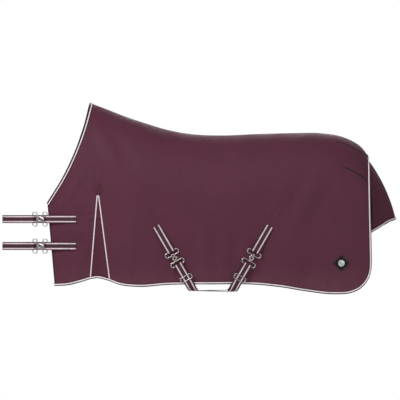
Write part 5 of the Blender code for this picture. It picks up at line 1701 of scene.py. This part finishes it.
# ---------------------------------------------------------------- label
class RUG_OT_label(bpy.types.Operator):
    """Make the blank diamond label and its plain round badge"""

    bl_idname = "turnout_rug.label"
    bl_label = "Label"

    def execute(self, context):
        made = finishes()
        centre = np.array((LABEL_AT[0], BACK_LINE - LABEL_AT[1]))
        angles = np.arange(LABEL_SIDES) * 2 * math.pi / LABEL_SIDES
        reach = 1 / (np.abs(np.cos(angles)) ** 1.05 + np.abs(np.sin(angles)) ** 1.05) ** (1 / 1.05)
        edge = np.column_stack([np.cos(angles), np.sin(angles)]) * reach[:, None] * LABEL_HALF_DIAGONAL
        rings = [(0.0, LABEL_PLY), (0.3, LABEL_PLY), (0.6, LABEL_PLY), (0.9, LABEL_PLY), (1.0, LABEL_PLY * 0.9),
                 (1.0, -0.0004)]
        layers = [self.over(centre + edge * max(share, 0.001), lift) for share, lift in rings]
        spots = [np.concatenate([edge * share, edge[:1] * share]) for share, _ in rings]
        shell = Shell()
        shell.disc(layers, spots)
        patch = finish_piece("label_diamond", shell.mesh("label_diamond"), made["label"], sharp=50)
        place(patch, "rug", "label", "label_patch")

        border = np.concatenate([edge, edge[:1]]) * 0.975
        line = self.over(centre + border, LABEL_PLY)[:-1]
        around = np.roll(line, -1, 0) - np.roll(line, 1, 0)
        normals = cloth_normal(NEAR, centre + border)[:-1]
        beside = unit(np.cross(normals, around))
        trim = swept("label_border", made["tape"], line, beside, normals, circle(0.0013, 8, 0.7), merge=FINE_MERGE,
                     cyclic=True)
        place(trim, "rug", "label")
        loop = np.concatenate([edge, edge[:1]]) * 0.90
        row = list(self.over(centre + loop, LABEL_PLY + THREAD_SEAT))
        sewn = stitched("label_stitching", [row], made["mauve_thread"])
        place(sewn, "rug", "label")

        outward = cloth_normal(NEAR, centre)
        middle = on_cloth(NEAR, centre) + outward * (LABEL_PLY + 0.0001)
        right = unit(np.cross(outward, (0, 0, 1.0))) * -1
        up = np.cross(right, outward)
        profile = [(1.0, 0.0), (1.0, 0.0010), (0.975, 0.0016), (0.93, 0.0019), (0.875, 0.0018), (0.83, 0.0013),
                   (0.78, 0.0012), (0.72, 0.0014), (0.62, 0.0018), (0.45, 0.0022), (0.25, 0.0024), (0.02, 0.0025)]
        angles = np.arange(BADGE_SIDES) * 2 * math.pi / BADGE_SIDES
        turn = np.cos(angles)[:, None] * right + np.sin(angles)[:, None] * up
        layers = np.array([middle + turn * BADGE_RADIUS * share + outward * lift for share, lift in profile])
        flat = np.column_stack([np.cos(angles), np.sin(angles)])
        spots = np.array([flat * share * BADGE_RADIUS for share, _ in profile])
        spots = np.concatenate([spots, spots[:, :1]], 1)
        shell = Shell()
        shell.disc(layers, spots)
        badge = finish_piece("round_badge", shell.mesh("round_badge"), made["badge"], sharp=40)
        place(badge, "rug", "steel", "label_badge")
        return {"FINISHED"}

    def over(self, places, lift):
        return on_cloth(NEAR, places) + cloth_normal(NEAR, places) * lift


# ---------------------------------------------------------------- floor, light and camera
class RUG_OT_studio(bpy.types.Operator):
    """Set up the plain floor, the soft lights and the camera"""

    bl_idname = "turnout_rug.studio"
    bl_label = "Studio"

    def execute(self, context):
        studio = settings("studio")
        scene = context.scene
        mesh = bpy.data.meshes.new("floor")
        bm = bmesh.new()
        bmesh.ops.create_circle(bm, cap_ends=True, segments=96, radius=5.0)
        for vert in bm.verts:
            vert.co.z = BACK_LINE - studio.floor_drop
        bm.to_mesh(mesh)
        bm.free()
        floor = bpy.data.objects.new("floor", mesh)
        scene.collection.objects.link(floor)
        made, tree, shader = new_material("pale_floor", Roughness=0.9)
        shader.inputs["Base Color"].default_value = hex_to_linear("#F4F4F4")
        place = add_node(tree, "ShaderNodeTexCoord").outputs["Object"]
        flat = add_node(tree, "ShaderNodeVectorMath", {0: place, 1: (1.0, 1.0, 0.0)}, operation="MULTIPLY")
        away = add_node(tree, "ShaderNodeVectorMath", {0: flat}, operation="LENGTH").outputs["Value"]
        fade = {"Value": away, "From Min": 1.2, "From Max": 4.2, "To Min": 1.0, "To Max": 0.0}
        shown = add_node(tree, "ShaderNodeMapRange", fade, interpolation_type="SMOOTHSTEP")
        tree.links.new(shown.outputs[0], shader.inputs["Alpha"])
        mesh.materials.append(made)

        world = bpy.data.worlds.new("studio_air")
        world.use_nodes = True
        air = world.node_tree
        seen = add_node(air, "ShaderNodeLightPath").outputs["Is Camera Ray"]
        strength = add_node(air, "ShaderNodeMapRange", {"Value": seen, "To Min": studio.air, "To Max": 1.0})
        air.nodes["Background"].inputs["Color"].default_value = (1.0, 1.0, 1.0, 1.0)
        air.links.new(strength.outputs[0], air.nodes["Background"].inputs["Strength"])
        scene.world = world
        for name, spot, size, power in LIGHTS:
            light = bpy.data.lights.new(name, "AREA")
            light.shape, light.size, light.energy = "DISK", size, power
            lamp = bpy.data.objects.new(name, light)
            lamp.location = spot
            aim = Vector(LIGHTS_AIM) - Vector(spot)
            lamp.rotation_euler = aim.to_track_quat("-Z", "Y").to_euler()
            scene.collection.objects.link(lamp)
        scene.view_settings.view_transform = "Standard"

        camera = bpy.data.cameras.new("camera")
        camera.lens, camera.sensor_width = studio.lens, SENSOR_WIDTH
        eye = bpy.data.objects.new("camera", camera)
        distance = studio.view_width * studio.lens / SENSOR_WIDTH
        eye.location = (VIEW_MIDDLE[0], VIEW_MIDDLE[1] - distance, VIEW_MIDDLE[2])
        eye.rotation_euler = (math.pi / 2, 0.0, 0.0)
        camera.clip_end = 200.0
        scene.collection.objects.link(eye)
        scene.camera = eye
        return {"FINISHED"}


# ---------------------------------------------------------------- add-on
STEPS = (
    RUG_OT_studio, RUG_OT_outer_cloth, RUG_OT_wadding, RUG_OT_lining, RUG_OT_bindings, RUG_OT_edge_piping,
    RUG_OT_gussets, RUG_OT_rump_darts, RUG_OT_tail_flap, RUG_OT_chest_straps, RUG_OT_surcingles, RUG_OT_clasps,
    RUG_OT_label,
)
GROUPS = {"cloth": RugClothSettings, "trim": RugTrimSettings, "metal": RugMetalSettings, "studio": RugStudioSettings}


class RUG_PT_panel(bpy.types.Panel):
    """Lists the rug's pieces and their settings"""

    bl_idname = "RUG_PT_panel"
    bl_label = "Turnout Rug"
    bl_space_type = "VIEW_3D"
    bl_region_type = "UI"
    bl_category = "Turnout Rug"

    def draw(self, context):
        for step in STEPS:
            self.layout.operator(step.bl_idname)
        for word, group in GROUPS.items():
            box = self.layout.box()
            for key in group.__annotations__:
                box.prop(settings(word), key)


def register():
    for group in GROUPS.values():
        bpy.utils.register_class(group)
    for word, group in GROUPS.items():
        setattr(bpy.types.Scene, "turnout_rug_" + word, PointerProperty(type=group))
    for made in (*STEPS, RUG_PT_panel):
        bpy.utils.register_class(made)


def unregister():
    for made in (RUG_PT_panel, *reversed(STEPS)):
        bpy.utils.unregister_class(made)
    for word, group in GROUPS.items():
        delattr(bpy.types.Scene, "turnout_rug_" + word)
        bpy.utils.unregister_class(group)


def main():
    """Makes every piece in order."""
    register()
    for step in STEPS:
        family, action = step.bl_idname.split(".")
        getattr(getattr(bpy.ops, family), action)()


if __name__ == "__main__":
    main()
